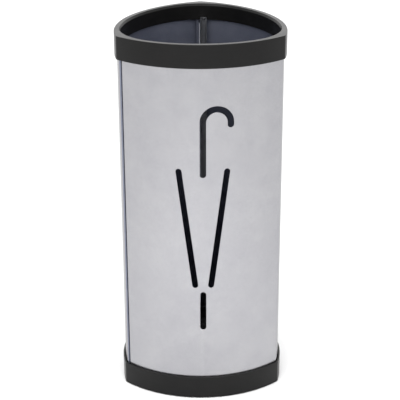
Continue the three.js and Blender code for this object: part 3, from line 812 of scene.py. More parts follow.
# ------------------------------------------------------------------------------------- mouldings
@dataclass
class Mouldings:
    """The black top ring and base: an outer wall and an inner skirt with room for the panels between."""

    plan: Plan
    wall: float = 2.8 * MM
    plate: float = 3 * MM
    chamfer_width: float = 2 * MM
    chamfer_depth: float = 3.5 * MM
    skirt_wall: float = 3.2 * MM
    top_skirt_depth: float = 27 * MM
    base_skirt_height: float = 20 * MM
    floor_raise: float = 4.5 * MM
    soft_edge: float = 0.9 * MM
    fine_edge: float = 0.4 * MM
    boss_diameter: float = 8 * MM
    notch_clearance: float = 0.5 * MM
    touch_gap: float = 0.3 * MM
    rib_radius: float = 60 * MM
    rib_width: float = 3 * MM
    rib_height: float = 3.5 * MM

    @property
    def skirt_inner(self) -> float:
        """Inset of the skirts' inner face."""
        return self.plan.rim_width + self.chamfer_width

    @property
    def skirt_outer(self) -> float:
        """Inset of the skirts' outer face."""
        return self.skirt_inner - self.skirt_wall

    @property
    def floor_top(self) -> float:
        """Height of the base's floor."""
        low, _ = node_box("base_ring")
        return low.z + self.floor_raise + self.plate

    def build_top_ring(self, posts: "CornerPosts") -> None:
        """Builds the top ring with its rim, skirt, screw bosses and room for the posts.

        Args:
            posts: The posts that stand in it, and their screws.
        """
        low, high = node_box("top_ring")
        top, bottom = high.z, low.z
        ceiling = top - self.plate
        skirt_bottom = top - self.top_skirt_depth
        outside, mouth = Family.OUTSIDE, Family.MOUTH
        ring = moulding("top_ring_moulding", self.plan, [
            Turn(outside, 0, top, self.soft_edge),
            Turn(mouth, self.plan.rim_width, top, self.fine_edge),
            Turn(mouth, self.skirt_inner, top - self.chamfer_depth, self.soft_edge),
            Turn(mouth, self.skirt_inner, skirt_bottom, self.fine_edge),
            Turn(mouth, self.skirt_outer, skirt_bottom, self.fine_edge),
            Turn(mouth, self.skirt_outer, ceiling, self.fine_edge),
            Turn(outside, self.wall, ceiling, self.fine_edge),
            Turn(outside, self.wall, bottom, self.fine_edge),
            Turn(outside, 0, bottom, self.soft_edge),
        ], closed=True)
        boss_bottom = posts.top + self.touch_gap
        hole = posts.screw.hole_radius
        for turns in range(3):
            middle = self.plan.turned(posts.screw_middle, turns)
            boss_top = top - self.plate / 2
            combine(ring, cylinder(middle, self.boss_diameter / 2, boss_bottom, boss_top), Join.ADD)
        for turns in range(3):
            middle = self.plan.turned(posts.screw_middle, turns)
            combine(ring, self.notch(skirt_bottom - self.touch_gap, boss_bottom, turns), Join.CUT)
            hole_top = boss_bottom + posts.screw.length
            combine(ring, cylinder(middle, hole, posts.top - self.touch_gap, hole_top), Join.CUT)
        smooth(ring)
        hand_over(ring, "stand", "black_plastic", RIM_PLASTIC, "top_ring")

    def build_base(self, posts: "CornerPosts", feet: "RubberFeet") -> None:
        """Builds the base with its floor, skirt, the rib under the tray, and its holes.

        Args:
            posts: The posts that stand on it, and their screws.
            feet: The feet pushed through it.
        """
        low, high = node_box("base_ring")
        top, bottom, floor_top = high.z, low.z, self.floor_top
        floor_bottom = floor_top - self.plate
        skirt_top = floor_top + self.base_skirt_height
        outside, mouth = Family.OUTSIDE, Family.MOUTH
        base = moulding("base_moulding", self.plan, [
            Turn(outside, self.wall + self.fine_edge * 2, floor_bottom),
            Turn(outside, self.wall, floor_bottom, self.fine_edge),
            Turn(outside, self.wall, bottom, self.fine_edge),
            Turn(outside, 0, bottom, self.soft_edge),
            Turn(outside, 0, top, self.fine_edge),
            Turn(outside, self.wall, top, self.fine_edge),
            Turn(outside, self.wall, floor_top, self.fine_edge),
            Turn(mouth, self.skirt_outer, floor_top, self.fine_edge),
            Turn(mouth, self.skirt_outer, skirt_top, self.soft_edge),
            Turn(mouth, self.skirt_inner, skirt_top, self.soft_edge),
            Turn(mouth, self.skirt_inner, floor_top, self.fine_edge),
            Turn(mouth, self.skirt_inner + self.fine_edge * 2, floor_top),
        ], closed=False)
        combine(base, self.tray_rib(), Join.ADD)
        below, above = floor_bottom - self.plate, floor_top + self.plate
        for turns in range(3):
            middle = self.plan.turned(posts.screw_middle, turns)
            combine(base, self.notch(floor_top, skirt_top + self.touch_gap, turns), Join.CUT)
            combine(base, cylinder(middle, posts.screw.hole_radius, below, above), Join.CUT)
            foot = self.plan.turned(feet.middle, turns)
            combine(base, cylinder(foot, feet.stem_diameter / 2 + self.touch_gap, below, above), Join.CUT)
        smooth(base)
        hand_over(base, "stand", "black_plastic", RIM_PLASTIC, "base_ring")

    def notch(self, bottom: float, top: float, turns: int) -> bpy.types.Object:
        """Cutting block that clears a post through a skirt.

        Args:
            bottom: Lower end of the notch.
            top: Upper end of the notch.
            turns: Third turns from the back.

        Returns:
            The block.
        """
        low, high = node_box("corner_post_back")
        gap = Vector((self.notch_clearance, self.notch_clearance, 0))
        low = Vector((low.x, low.y - 2 * self.skirt_wall, bottom)) - gap
        high = Vector((high.x, high.y, top)) + gap
        return self.plan.turn_object(block(low, high), turns)

    def tray_rib(self) -> bpy.types.Object:
        """Round rib that carries the tray.

        Returns:
            The rib, as a solid to join to the floor.
        """
        inner, outer = self.rib_radius - self.rib_width / 2, self.rib_radius + self.rib_width / 2
        bottom, top = -self.plate / 2, self.rib_height
        profile = rounded_path([(inner, bottom, 0), (outer, bottom, 0), (outer, top, self.soft_edge),
                                (inner, top, self.soft_edge)], True, 4)
        centre = Vector((0, self.plan.axis_y, self.floor_top))
        return lathe("tool", profile, centre, 96, closed=True)


# ------------------------------------------------------------------------------------- panels
@dataclass(frozen=True)
class Slot:
    """Slot punched in a flat sheet: a middle line, and a width with half-round ends."""

    line: tuple[Point, ...]
    width: float

    def outline(self, extra: float, steps: int = 10) -> list[Point]:
        """Closed outline of the slot, widened by `extra` all round.

        Args:
            extra: Widening on every side.
            steps: Segments in a quarter of a round end.

        Returns:
            Points as (across, height), in order.
        """
        half = self.width / 2 + extra
        points = [Vector(p) for p in self.line]
        sides = [self.side_of(points, i, half) for i in range(len(points))]
        back = [self.side_of(points, i, -half) for i in range(len(points))]
        made = sides + self.round_end(points[-1], sides[-1], steps)
        made += back[::-1] + self.round_end(points[0], back[0], steps)
        return [tuple(p) for p in made]

    def side_of(self, points: list[Vector], i: int, distance: float) -> Vector:
        """Point beside the middle line, to its left.

        Args:
            points: The middle line.
            i: Number of the point.
            distance: How far beside it.

        Returns:
            The point.
        """
        into = (points[i] - points[i - 1]).normalized() if i else (points[1] - points[0]).normalized()
        out = (points[i + 1] - points[i]).normalized() if i + 1 < len(points) else into
        along = (into + out).normalized()
        return points[i] + Vector((-along.y, along.x)) * (distance / along.dot(into))

    def round_end(self, centre: Vector, start: Vector, steps: int) -> list[Vector]:
        """Half circle that ends the slot.

        Args:
            centre: End of the middle line.
            start: Where the half circle starts.
            steps: Segments in a quarter turn.

        Returns:
            Points between the slot's two sides.
        """
        made = []
        for i in range(1, 2 * steps):
            arm = start - centre
            arm.rotate(Matrix.Rotation(-math.pi * i / (2 * steps), 2))
            made.append(centre + arm)
        return made

    def holds(self, point: Point) -> bool:
        """Whether a point lies inside the slot.

        Args:
            point: Place as (across, height).

        Returns:
            True inside the slot.
        """
        here = Vector(point)
        for first, second in zip(self.line, self.line[1:]):
            start, run = Vector(first), Vector(second) - Vector(first)
            share = min(1.0, max(0.0, (here - start).dot(run) / run.length_squared))
            if (here - start - run * share).length < self.width / 2:
                return True
        return False


@dataclass(frozen=True)
class UmbrellaSign:
    """Cut-out umbrella: places across from the panel's centre line, and heights above the floor."""

    across: float = 2.6 * MM
    stem_width: float = 10 * MM
    stem_bottom: float = 394.3 * MM
    hook_radius: float = 21.5 * MM
    hook_height: float = 477.7 * MM
    hook_drop: float = 3.4 * MM
    canopy_width: float = 9.4 * MM
    canopy_top: float = 398.6 * MM
    canopy_bottom: float = 206 * MM
    canopy_top_across: float = 37.5 * MM
    canopy_bottom_across: float = 12.6 * MM
    ferrule_width: float = 9.7 * MM
    ferrule_top: float = 188.8 * MM
    ferrule_bottom: float = 131.2 * MM
    hook_steps: int = 40

    def slots(self) -> list[Slot]:
        """The handle, the two sides of the furled canopy, and the ferrule.

        Returns:
            The four slots.
        """
        middle = self.across + self.hook_radius
        handle = [(self.across, self.stem_bottom), (self.across, self.hook_height)]
        for i in range(1, self.hook_steps + 1):
            angle = math.pi * (1 - i / self.hook_steps)
            handle.append((middle + self.hook_radius * math.cos(angle),
                           self.hook_height + self.hook_radius * math.sin(angle)))
        handle.append((middle + self.hook_radius, self.hook_height - self.hook_drop))
        made = [Slot(tuple(handle), self.stem_width)]
        for sense in (-1, 1):
            low = (self.across + sense * self.canopy_bottom_across, self.canopy_bottom)
            high = (self.across + sense * self.canopy_top_across, self.canopy_top)
            made.append(Slot((low, high), self.canopy_width))
        ferrule = ((self.across, self.ferrule_bottom), (self.across, self.ferrule_top))
        made.append(Slot(ferrule, self.ferrule_width))
        return made


@dataclass
class BentLine:
    """Middle line of a bent sheet in plan, measured along its length from a mark."""

    points: list[Vector]
    mark: float = 0.0
    lengths: list[float] = field(default_factory=list)

    def __post_init__(self) -> None:
        """Adds up the lengths."""
        total = 0.0
        self.lengths = [0.0]
        for first, second in zip(self.points, self.points[1:]):
            total += (second - first).length
            self.lengths.append(total)

    def stations(self) -> list[float]:
        """Distance of every point from the mark."""
        return [length - self.mark for length in self.lengths]

    def normal(self, i: int) -> Vector:
        """Unit direction square to the line at one of its points, to its right.

        Args:
            i: Number of the point.

        Returns:
            The direction, lengthened to keep a mitre's width.
        """
        into = self.points[max(i, 1)] - self.points[max(i, 1) - 1]
        last = len(self.points) - 1
        out = self.points[min(i, last - 1) + 1] - self.points[min(i, last - 1)]
        along = (into.normalized() + out.normalized()).normalized()
        return Vector((along.y, -along.x)) / along.dot(into.normalized())

    def place(self, station: float, depth: float) -> Vector:
        """Point at a distance from the mark, `depth` to the right of the line.

        Args:
            station: Distance along the line from the mark.
            depth: Distance to the right.

        Returns:
            The point, about the axis.
        """
        wanted = station + self.mark
        i = 1
        while i < len(self.points) - 1 and self.lengths[i] < wanted:
            i += 1
        span = self.lengths[i] - self.lengths[i - 1]
        share = (wanted - self.lengths[i - 1]) / span
        point = self.points[i - 1].lerp(self.points[i], share)
        return point + self.normal(i - 1).lerp(self.normal(i), share) * depth


@dataclass
class SheetPanels:
    """The three bowed panels. Each is one sheet with a flange at both seams; only the front is cut out."""

    plan: Plan
    mouldings: Mouldings
    sign: UmbrellaSign
    sheet: float = 1 * MM
    inset: float = 3.9 * MM
    bend_radius: float = 1.2 * MM
    return_length: float = 0.6 * MM
    seam_gap: float = 2.4 * MM
    seam_foot_gap: float = 0.4 * MM
    lip_length: float = 5 * MM
    flange_clearance: float = 1 * MM
    edge_round: float = 0.15 * MM
    sharpest_mitre: float = 0.5
    # Share of the sheet's thickness by which a face must lie inside the bow to get the painted inside shade.
    inside_shade_margin: float = 0.4
    arc_steps: int = 110
    corner_steps: int = 10
    bend_steps: int = 8

    @property
    def radius(self) -> float:
        """Radius of the sheet's middle."""
        return self.plan.side_radius - self.inset - self.sheet / 2

    @property
    def corner_radius(self) -> float:
        """Radius of the sheet's middle round the corner."""
        return self.plan.corner_radius - self.inset - self.sheet / 2

    @property
    def reach(self) -> float:
        """Distance from the axis to the centre of the sheet's corner."""
        return self.plan.corner_reach(self.radius - self.corner_radius)

    def flange_end(self, lip_angle: float) -> float:
        """Distance from the side's centre to the flanges' inner ends, clear of the skirt.

        Args:
            lip_angle: Angle of the lip's free edge about the side's centre.

        Returns:
            The distance.
        """
        skirt_inset = self.mouldings.skirt_outer
        skirt_corner = self.plan.corner(Family.MOUTH, skirt_inset)
        skirt_reach = self.plan.corner_reach(self.plan.side_radius - skirt_inset - skirt_corner)
        skirt_centre = -skirt_reach * Vector((math.cos(math.pi / 6), math.sin(math.pi / 6)))
        side_centre = Vector((0, self.plan.centre_offset))
        direction = self.plan.side_point(1.0, lip_angle) - side_centre
        along = (skirt_centre - side_centre).dot(direction)
        across = (skirt_centre - side_centre).cross(direction)
        return along + math.sqrt((skirt_corner + self.flange_clearance) ** 2 - across ** 2)

    def bent_line(self) -> BentLine:
        """Middle line of one sheet, about the axis: lip, flange, bowed side, corner, return and flange.

        Returns:
            The line, marked at the middle of the side.
        """
        plan, radius, reach = self.plan, self.radius, self.reach
        half = plan.half_angle(reach)
        return_angle = (self.return_length + self.bend_radius) / radius - half
        own_angle = return_angle + (self.seam_gap + self.sheet) / radius
        foot_angle = return_angle + (self.seam_foot_gap + self.sheet) / radius
        lip_angle = foot_angle + self.lip_length / radius
        inner = self.flange_end(lip_angle)
        lip_radius = inner + self.sheet / 2
        next_side = Matrix.Rotation(THIRD_TURN, 2)

        side = [plan.side_point(radius, own_angle + (half - own_angle) * i / self.arc_steps)
                for i in range(1, self.arc_steps + 1)]
        steps = self.corner_steps
        corner = [plan.corner_point(reach, self.corner_radius, half + (THIRD_TURN - 2 * half) * i / steps)
                  for i in range(1, steps + 1)]
        rounding = self.bend_radius
        start = [(plan.side_point(lip_radius, lip_angle), 0.0),
                 (plan.side_point(lip_radius, foot_angle), rounding),
                 (plan.side_point(radius, own_angle), rounding), (side[0], 0.0)]
        finish = [(corner[-1], 0.0), (next_side @ plan.side_point(radius, return_angle), rounding),
                  (next_side @ plan.side_point(inner, return_angle), 0.0)]
        points = self.rounded(start) + side[1:] + corner[:-1] + self.rounded(finish)
        line = BentLine(points)
        middle = min(range(len(points)), key=lambda i: abs(points[i].x) + abs(points[i].y + radius))
        to_middle = radius * math.atan2(points[middle].x, plan.centre_offset - points[middle].y)
        line.mark = line.lengths[middle] - to_middle
        return line

    def rounded(self, corners: list[tuple[Vector, float]]) -> list[Vector]:
        """Rounds a few corners of the sheet's line."""
        path = [(p.x, p.y, r) for p, r in corners]
        return [Vector(p) for p in rounded_path(path, False, self.bend_steps)]

    def blank(self, line: BentLine, bottom: float, top: float, slots: list[Slot]) -> tuple[list, list]:
        """Cuts the flat blank into triangles.

        Args:
            line: The sheet's middle line.
            bottom: Height of the lower edge.
            top: Height of the upper edge.
            slots: Slots to punch.

        Returns:
            Points of the blank as (across, height), and triangles.
        """
        edge = self.edge_round
        stations = line.stations()
        stations[0] += edge
        stations[-1] -= edge
        points = [Vector((s, z)) for z in (bottom + edge, top - edge) for s in stations]
        count = len(stations)
        edges = [(row + i, row + i + 1) for row in (0, count) for i in range(count - 1)]
        edges += [(i, count + i) for i in range(count)]
        for slot in slots:
            outline = [Vector(p) for p in slot.outline(edge)]
            first = len(points)
            points += outline
            edges += [(first + i, first + (i + 1) % len(outline)) for i in range(len(outline))]
        scale = 1 / MM
        made = delaunay_2d_cdt([p * scale for p in points], edges, [], KEEP_INSIDE, CUT_TOLERANCE)
        flat = [p / scale for p in made[0]]
        wider = [Slot(slot.line, slot.width + 2 * edge) for slot in slots]
        faces = []
        for face in made[2]:
            middle = sum((flat[i] for i in face), Vector((0, 0))) / len(face)
            if not any(slot.holds(middle) for slot in wider):
                faces.append(tuple(face))
        return flat, faces

    def rim_edges(self, faces: list[Face]) -> dict[int, int]:
        """Edges of the blank's border, each from a point to the next with the metal on the left.

        Args:
            faces: Triangles of the blank.

        Returns:
            Number of the next point on the border, for each of its points.
        """
        seen = set()
        for face in faces:
            for i in range(len(face)):
                seen.add((face[i], face[(i + 1) % len(face)]))
        return {a: b for a, b in seen if (b, a) not in seen}

    def build(self, name: str, node: str, turns: int, slots: list[Slot]) -> None:
        """Builds one panel with softened edges, and turns it to its side.

        Args:
            name: The piece's name.
            node: Frame node that it stands for.
            turns: Third turns from the front.
            slots: Slots to punch.
        """
        low, high = node_box(node)
        line = self.bent_line()
        flat, faces = self.blank(line, low.z, high.z, slots)
        after = self.rim_edges(faces)
        before = {b: a for a, b in after.items()}
        half = self.sheet / 2
        corners: list[Vector] = []
        solid: list[Face] = []
        lay = partial(self.lay, corners, line)
        front = {i: lay(flat[i], half) for face in faces for i in face}
        back = {i: lay(flat[i], -half) for i in front}
        solid += [tuple(front[i] for i in face) for face in faces]
        solid += [tuple(back[i] for i in reversed(face)) for face in faces]
        walls: dict[int, list[int]] = {}
        for i, following in after.items():
            into = (flat[i] - flat[before[i]]).normalized()
            out = (flat[following] - flat[i]).normalized()
            along = (into + out).normalized()
            away = Vector((along.y, -along.x)) / max(along.dot(into), self.sharpest_mitre)
            rows = [lay(flat[i] + away * out_by, depth) for out_by, depth in self.edge_rows()]
            walls[i] = [front[i], *rows, back[i]]
        for i, following in after.items():
            near, far = walls[i], walls[following]
            solid += [(near[k], near[k + 1], far[k + 1], far[k]) for k in range(len(near) - 1)]
        panel = new_object(name, corners, solid)
        self.plan.turn_object(panel, turns)
        smooth(panel, 50.0)
        hand_over(panel, "stand", "grey_enamel", SILVER_ENAMEL, node)
        # Lays the painted inside shade (a darker copy of the enamel) on the faces that look into the stand.
        self.paint_inside_shade(panel, turns)

    def lay(self, corners: list[Vector], line: BentLine, point: Vector, depth: float) -> int:
        """Bends one point of the blank into place, and adds it to the panel.

        Args:
            corners: The panel's points so far.
            line: The sheet's middle line.
            point: Place on the blank, as (across, height).
            depth: Distance outwards from the sheet's middle.

        Returns:
            The new point's number.
        """
        place = line.place(point.x, depth)
        corners.append(Vector((place.x, place.y + self.plan.axis_y, point.y)))
        return len(corners) - 1

    def edge_rows(self) -> list[Point]:
        """Rounds a cut edge of the sheet.

        Returns:
            Distance out from the blank's border and depth of each row of points, outer face first.
        """
        half, edge, slope = self.sheet / 2, self.edge_round, math.pi / 4
        slant, out = edge * (1 - math.cos(slope)), edge * math.sin(slope)
        return [(out, half - slant), (edge, half - edge), (edge, edge - half), (out, slant - half)]

    def paint_inside_shade(self, panel: bpy.types.Object, turns: int) -> None:
        """Paints the faces that look into the stand with a darker, bluer copy of the enamel: painted shade
        for the stand's dim inside.

        Args:
            panel: The panel.
            turns: Third turns from the front.
        """
        panel.data.materials.append(PAINTED_INSIDE_SHADE.material())
        centre = self.plan.turned(Vector((0, self.plan.axis_y + self.plan.centre_offset, 0)), turns)
        for face in panel.data.polygons:
            from_centre = face.center - centre
            from_centre.z = 0
            is_inside = from_centre.length < self.radius - self.sheet * self.inside_shade_margin
            if is_inside:
                face.material_index = 1

    def build_all(self) -> None:
        """Builds the cut-out front and the two plain sides."""
        self.build("front_panel_with_umbrella", "panel_front", 0, self.sign.slots())
        self.build("plain_panel_back_right", "panel_back_right", 1, [])
        self.build("plain_panel_back_left", "panel_back_left", 2, [])


# ------------------------------------------------------------------------------------- posts and screws
@dataclass(frozen=True)
class Screw:
    """Thread-forming screw with a pan head and a six-sided socket, head down."""

    diameter: float = 4 * MM
    length: float = 12 * MM
    head_diameter: float = 6.4 * MM
    head_height: float = 2.2 * MM
    socket_width: float = 2.5 * MM
    socket_depth: float = 1.2 * MM
    hole_clearance: float = 0.3 * MM
    pitch: float = 1.2 * MM
    thread_depth: float = 0.45 * MM
    thread_slope: float = 3.2
    tip_share: float = 0.35
    crown_share: float = 0.5
    shoulder_share: float = 0.86
    shoulder_drop_share: float = 0.45
    head_round: float = 0.5 * MM
    head_edge: float = 0.12 * MM
    steps: int = 36
    rows_per_pitch: int = 8

    @property
    def hole_radius(self) -> float:
        """Radius of the hole that it passes."""
        return self.diameter / 2 + self.hole_clearance

    def shank(self) -> list[list[Vector]]:
        """Rings of the threaded shank, from under the head to the tip.

        Returns:
            Rings of points from the head to the tip.
        """
        crest, root = self.diameter / 2, self.diameter / 2 - self.thread_depth
        rows = round(self.length / self.pitch * self.rows_per_pitch)
        rings = []
        for row in range(rows + 1):
            height = self.length * row / rows
            taper = min(1.0, (self.length - height) / self.diameter + self.tip_share)
            ring = []
            for i in range(self.steps):
                turn = i / self.steps
                phase = (height / self.pitch - turn) % 1.0
                ridge = max(0.0, 1 - abs(phase - 0.5) * self.thread_slope)
                starts = min(1.0, height / self.pitch)
                radius = (root + (crest - root) * ridge * starts) * taper
                angle = math.tau * turn
                ring.append(Vector((radius * math.cos(angle), radius * math.sin(angle), height)))
            rings.append(ring)
        return rings

    def build(self, name: str) -> bpy.types.Object:
        """Builds the screw with the underside of its head at height 0.

        Args:
            name: The piece's name.

        Returns:
            The screw.
        """
        head = self.head_diameter / 2
        profile = rounded_path([(head * self.crown_share, -self.head_height, 0),
                                (head * self.shoulder_share, -self.head_height, self.head_round),
                                (head, -self.head_height * self.shoulder_drop_share, self.head_round),
                                (head, 0, self.head_edge), (self.diameter / 2, 0, 0)], False, 4)
        rings = []
        for radius, height in profile:
            angles = (math.tau * i / self.steps for i in range(self.steps))
            rings.append([Vector((radius * math.cos(a), radius * math.sin(a), height)) for a in angles])
        screw = loft(name, rings + self.shank(), closed=False)
        deep = self.socket_depth - self.head_height
        socket = lathe("tool", [(self.socket_width / 2, -2 * self.head_height), (self.socket_width / 2, deep),
                                (self.socket_width / 8, deep + self.socket_depth / 4)],
                       Vector((0, 0, 0)), 6, closed=False)
        combine(screw, socket, Join.CUT)
        smooth(screw, 34.0)
        return screw


@dataclass
class CornerPosts:
    """Folded channels behind the seams, with a screwed tab across each end, and their screws and washers."""

    plan: Plan
    screw: Screw
    sheet: float = 1.2 * MM
    head_clearance: float = 0.5 * MM
    touch_gap: float = 0.3 * MM
    edge: float = 0.2 * MM
    washer_diameter: float = 9 * MM
    washer_edge: float = 0.15 * MM

    @property
    def top(self) -> float:
        """Height of the posts' upper end."""
        return node_box("corner_post_back")[1].z

    @property
    def screw_middle(self) -> Vector:
        """Centre line of the back corner's screws.

        Returns:
            The line's place in plan.
        """
        low, high = node_box("corner_post_back")
        from_back = self.sheet + self.screw.head_diameter / 2 + self.head_clearance
        return Vector(((low.x + high.x) / 2, high.y - from_back, 0))

    def build_all(self) -> None:
        """Builds posts, screws and washers at the three corners."""
        for turns, corner in enumerate(CORNERS):
            self.build_post(f"channel_post_{corner}", f"corner_post_{corner}", turns)
            for level in ("top", "base"):
                node = f"{level}_screw_{corner}"
                screw = self.screw.build(f"{level}_pan_screw_{corner}")
                self.seat(screw, node_box(f"{level}_screw_back")[0].z + self.screw.head_height, turns)
                hand_over(screw, "stand", "screw_steel", SCREW_PLATE, node)
            self.build_washer(f"flat_washer_{corner}", f"base_washer_{corner}", turns)

    def seat(self, obj: bpy.types.Object, height: float, turns: int) -> None:
        """Moves a piece made at the origin onto the screw line of a corner.

        Args:
            obj: The piece.
            height: Height of its origin.
            turns: Third turns from the back.
        """
        middle = self.screw_middle
        obj.data.transform(Matrix.Translation((middle.x, middle.y, height)))
        self.plan.turn_object(obj, turns)

    def build_post(self, name: str, node: str, turns: int) -> None:
        """Builds one channel with its two tabs.

        Args:
            name: The piece's name.
            node: Frame node that it stands for.
            turns: Third turns from the back.
        """
        low, high = node_box("corner_post_back")
        half = self.sheet / 2
        left, right, back = low.x + half, high.x - half, high.y - half
        middle_line = rounded_path([(left, low.y, 0), (left, back, self.sheet), (right, back, self.sheet),
                                    (right, low.y, 0)], False, 8)
        line = BentLine([Vector(p) for p in middle_line])
        stations = line.stations()
        edge = self.edge
        loops = []
        for inward, height in ((edge, low.z), (0, low.z + edge), (0, high.z - edge), (edge, high.z)):
            shrink = 1 - inward / half
            loops.append(self.section_loop(line, stations, half * shrink, height))
        post = self.channel(name, loops)
        for bottom in (low.z, high.z - self.sheet):
            tab_low, tab_high = Vector((left, low.y, bottom)), Vector((right, back, bottom + self.sheet))
            combine(post, block(tab_low, tab_high), Join.ADD)
            hole = cylinder(self.screw_middle, self.screw.hole_radius, bottom - self.sheet,
                            bottom + 2 * self.sheet)
            combine(post, hole, Join.CUT)
        self.plan.turn_object(post, turns)
        smooth(post)
        hand_over(post, "stand", "zinc_steel", ZINC_PLATE, node)

    def section_loop(self, line: BentLine, stations: list[float], half: float, height: float) -> list[Vector]:
        """Outline of the channel's section at one height."""
        outline = [line.place(s, -half) for s in stations] + [line.place(s, half) for s in reversed(stations)]
        return [Vector((p.x, p.y, height)) for p in outline]

    def channel(self, name: str, loops: list[list[Vector]]) -> bpy.types.Object:
        """Skins the channel, with its ends closed across the sheet's thickness.

        Args:
            name: The piece's name.
            loops: The section's outline at each height.

        Returns:
            The channel.
        """
        count = len(loops[0])
        corners = [corner for loop in loops for corner in loop]
        faces: list[Face] = []
        for j in range(len(loops) - 1):
            for i in range(count):
                following = (i + 1) % count
                low, high = j * count, (j + 1) * count
                faces.append((low + i, low + following, high + following, high + i))
        for start in (0, (len(loops) - 1) * count):
            for i in range(count // 2 - 1):
                opposite = count - 1 - i
                faces.append((start + i, start + i + 1, start + opposite - 1, start + opposite))
        return new_object(name, corners, faces)

    def build_washer(self, name: str, node: str, turns: int) -> None:
        """Builds one washer with its stamped edges.

        Args:
            name: The piece's name.
            node: Frame node that it stands for.
            turns: Third turns from the back.
        """
        low, high = node_box("base_washer_back")
        inner, outer, thickness = self.screw.hole_radius, self.washer_diameter / 2, high.z - low.z
        profile = rounded_path([(inner, 0, self.washer_edge), (outer, 0, self.washer_edge),
                                (outer, thickness, self.washer_edge), (inner, thickness, self.washer_edge)],
                               True, 3)
        washer = lathe(name, profile, Vector((0, 0, 0)), 48, closed=True)
        self.seat(washer, low.z, turns)
        smooth(washer)
        hand_over(washer, "stand", "screw_steel", SCREW_PLATE, node)


# ------------------------------------------------------------------------------------- feet and tray
@dataclass
class RubberFeet:
    """Push-in rubber feet: a grooved pad, a stem through the floor and a barb above it."""

    plan: Plan
    stem_diameter: float = 6 * MM
    barb_diameter: float = 8.4 * MM
    barb_height: float = 2 * MM
    edge: float = 0.8 * MM
    fine_edge: float = 0.25 * MM
    groove_depth: float = 0.5 * MM
    groove_width: float = 0.9 * MM
    groove_radii: tuple[float, ...] = (4.4 * MM, 7.2 * MM)
    groove_floor_share: float = 0.6
    groove_fillet: float = 0.1 * MM
    core_radius: float = 0.3 * MM
    stem_fillet: float = 0.2 * MM
    neck_fillet: float = 0.1 * MM
    barb_round: float = 0.3 * MM
    tip_share: float = 0.8
    tip_round: float = 0.4 * MM
    steps: int = 64

    @property
    def middle(self) -> Vector:
        """Centre line of the back foot."""
        low, high = node_box("rubber_foot_back")
        return Vector(((low.x + high.x) / 2, (low.y + high.y) / 2, 0))

    def build_all(self, mouldings: Mouldings) -> None:
        """Builds the three feet.

        Args:
            mouldings: The base that they are pushed through.
        """
        low, high = node_box("rubber_foot_back")
        pad = (high.x - low.x) / 2
        pad_top = mouldings.floor_top - mouldings.plate - mouldings.touch_gap
        barb_bottom = high.z - self.barb_height
        stem, barb = self.stem_diameter / 2, self.barb_diameter / 2
        path = [(self.core_radius, 0, 0.0)]
        for radius in self.groove_radii:
            half = self.groove_width / 2
            narrow = half * self.groove_floor_share
            path += [(radius - half, 0, self.fine_edge),
                     (radius - narrow, self.groove_depth, self.groove_fillet),
                     (radius + narrow, self.groove_depth, self.groove_fillet),
                     (radius + half, 0, self.fine_edge)]
        path += [(pad, 0, self.edge), (pad, pad_top, self.fine_edge), (stem, pad_top, self.stem_fillet),
                 (stem, barb_bottom, self.neck_fillet), (barb, barb_bottom, self.barb_round),
                 (stem * self.tip_share, high.z, self.tip_round), (self.core_radius, high.z, 0.0)]
        profile = rounded_path(path, False, 4)
        for turns, corner in enumerate(CORNERS):
            foot = lathe(f"push_in_foot_{corner}", profile, self.middle, self.steps, closed=False)
            self.plan.turn_object(foot, turns)
            smooth(foot)
            hand_over(foot, "stand", "black_rubber", FOOT_RUBBER, f"rubber_foot_{corner}")


@dataclass
class DripTray:
    """Loose tray that lifts out: a thin wall with draft, a lip, and low ribs that keep tips off the wet."""

    plan: Plan
    mouldings: Mouldings
    clearance: float = 2.4 * MM
    wall: float = 1.8 * MM
    draft: float = 1.6 * MM
    lip: float = 1 * MM
    bottom_round: float = 2.2 * MM
    fine_edge: float = 0.4 * MM
    rib_height: float = 1.2 * MM
    rib_width: float = 2.4 * MM
    crest_divisor: float = 3.0
    rib_insets: tuple[float, ...] = (34 * MM, 56 * MM, 78 * MM)

    def build(self) -> None:
        """Builds the tray on the moving body."""
        low, high = node_box("drip_tray")
        bottom, top = low.z, high.z
        lip = self.mouldings.skirt_inner + self.clearance
        outer = lip + self.lip
        foot = outer + self.draft
        inner = outer + self.wall
        well = inner + self.draft
        floor = bottom + self.wall
        mouth = Family.MOUTH
        section = [
            Turn(mouth, foot + 4 * self.wall, bottom),
            Turn(mouth, foot, bottom, self.bottom_round),
            Turn(mouth, outer, top - self.wall, self.fine_edge),
            Turn(mouth, lip, top - self.wall, self.fine_edge),
            Turn(mouth, lip, top, self.fine_edge),
            Turn(mouth, inner, top, self.fine_edge),
            Turn(mouth, well, floor, self.bottom_round),
        ]
        half = self.rib_width / 2
        crest = half / self.crest_divisor
        for inset in self.rib_insets:
            section += [Turn(mouth, inset - half, floor, self.fine_edge),
                        Turn(mouth, inset - crest, floor + self.rib_height, self.fine_edge),
                        Turn(mouth, inset + crest, floor + self.rib_height, self.fine_edge),
                        Turn(mouth, inset + half, floor, self.fine_edge)]
        section.append(Turn(mouth, self.rib_insets[-1] + 2 * self.rib_width, floor))
        tray = moulding("lift_out_tray", self.plan, section, closed=False, steps=3)
        smooth(tray)
        hand_over(tray, "tray", "tray_plastic", TRAY_PLASTIC, "drip_tray")


# ------------------------------------------------------------------------------------- studio
@dataclass(frozen=True)
class SoftBox:
    """Square area light that looks at the stand's middle, or straight down."""

    name: str
    place: tuple[float, float, float]
    size: float
    watts: float
    straight_down: bool = False

    def build(self) -> None:
        """Adds the light."""
        light = bpy.data.lights.new(self.name, "AREA")
        light.size = self.size
        light.energy = self.watts
        obj = bpy.data.objects.new(self.name, light)
        obj.location = self.place
        aim = Vector((0, 0, CAD_BOX[1].z * AIM_SHARE)) - Vector(self.place)
        if not self.straight_down:
            obj.rotation_euler = aim.to_track_quat("-Z", "Y").to_euler()
        bpy.context.scene.collection.objects.link(obj)
        log.info("%s: %.0f W", self.name, self.watts)


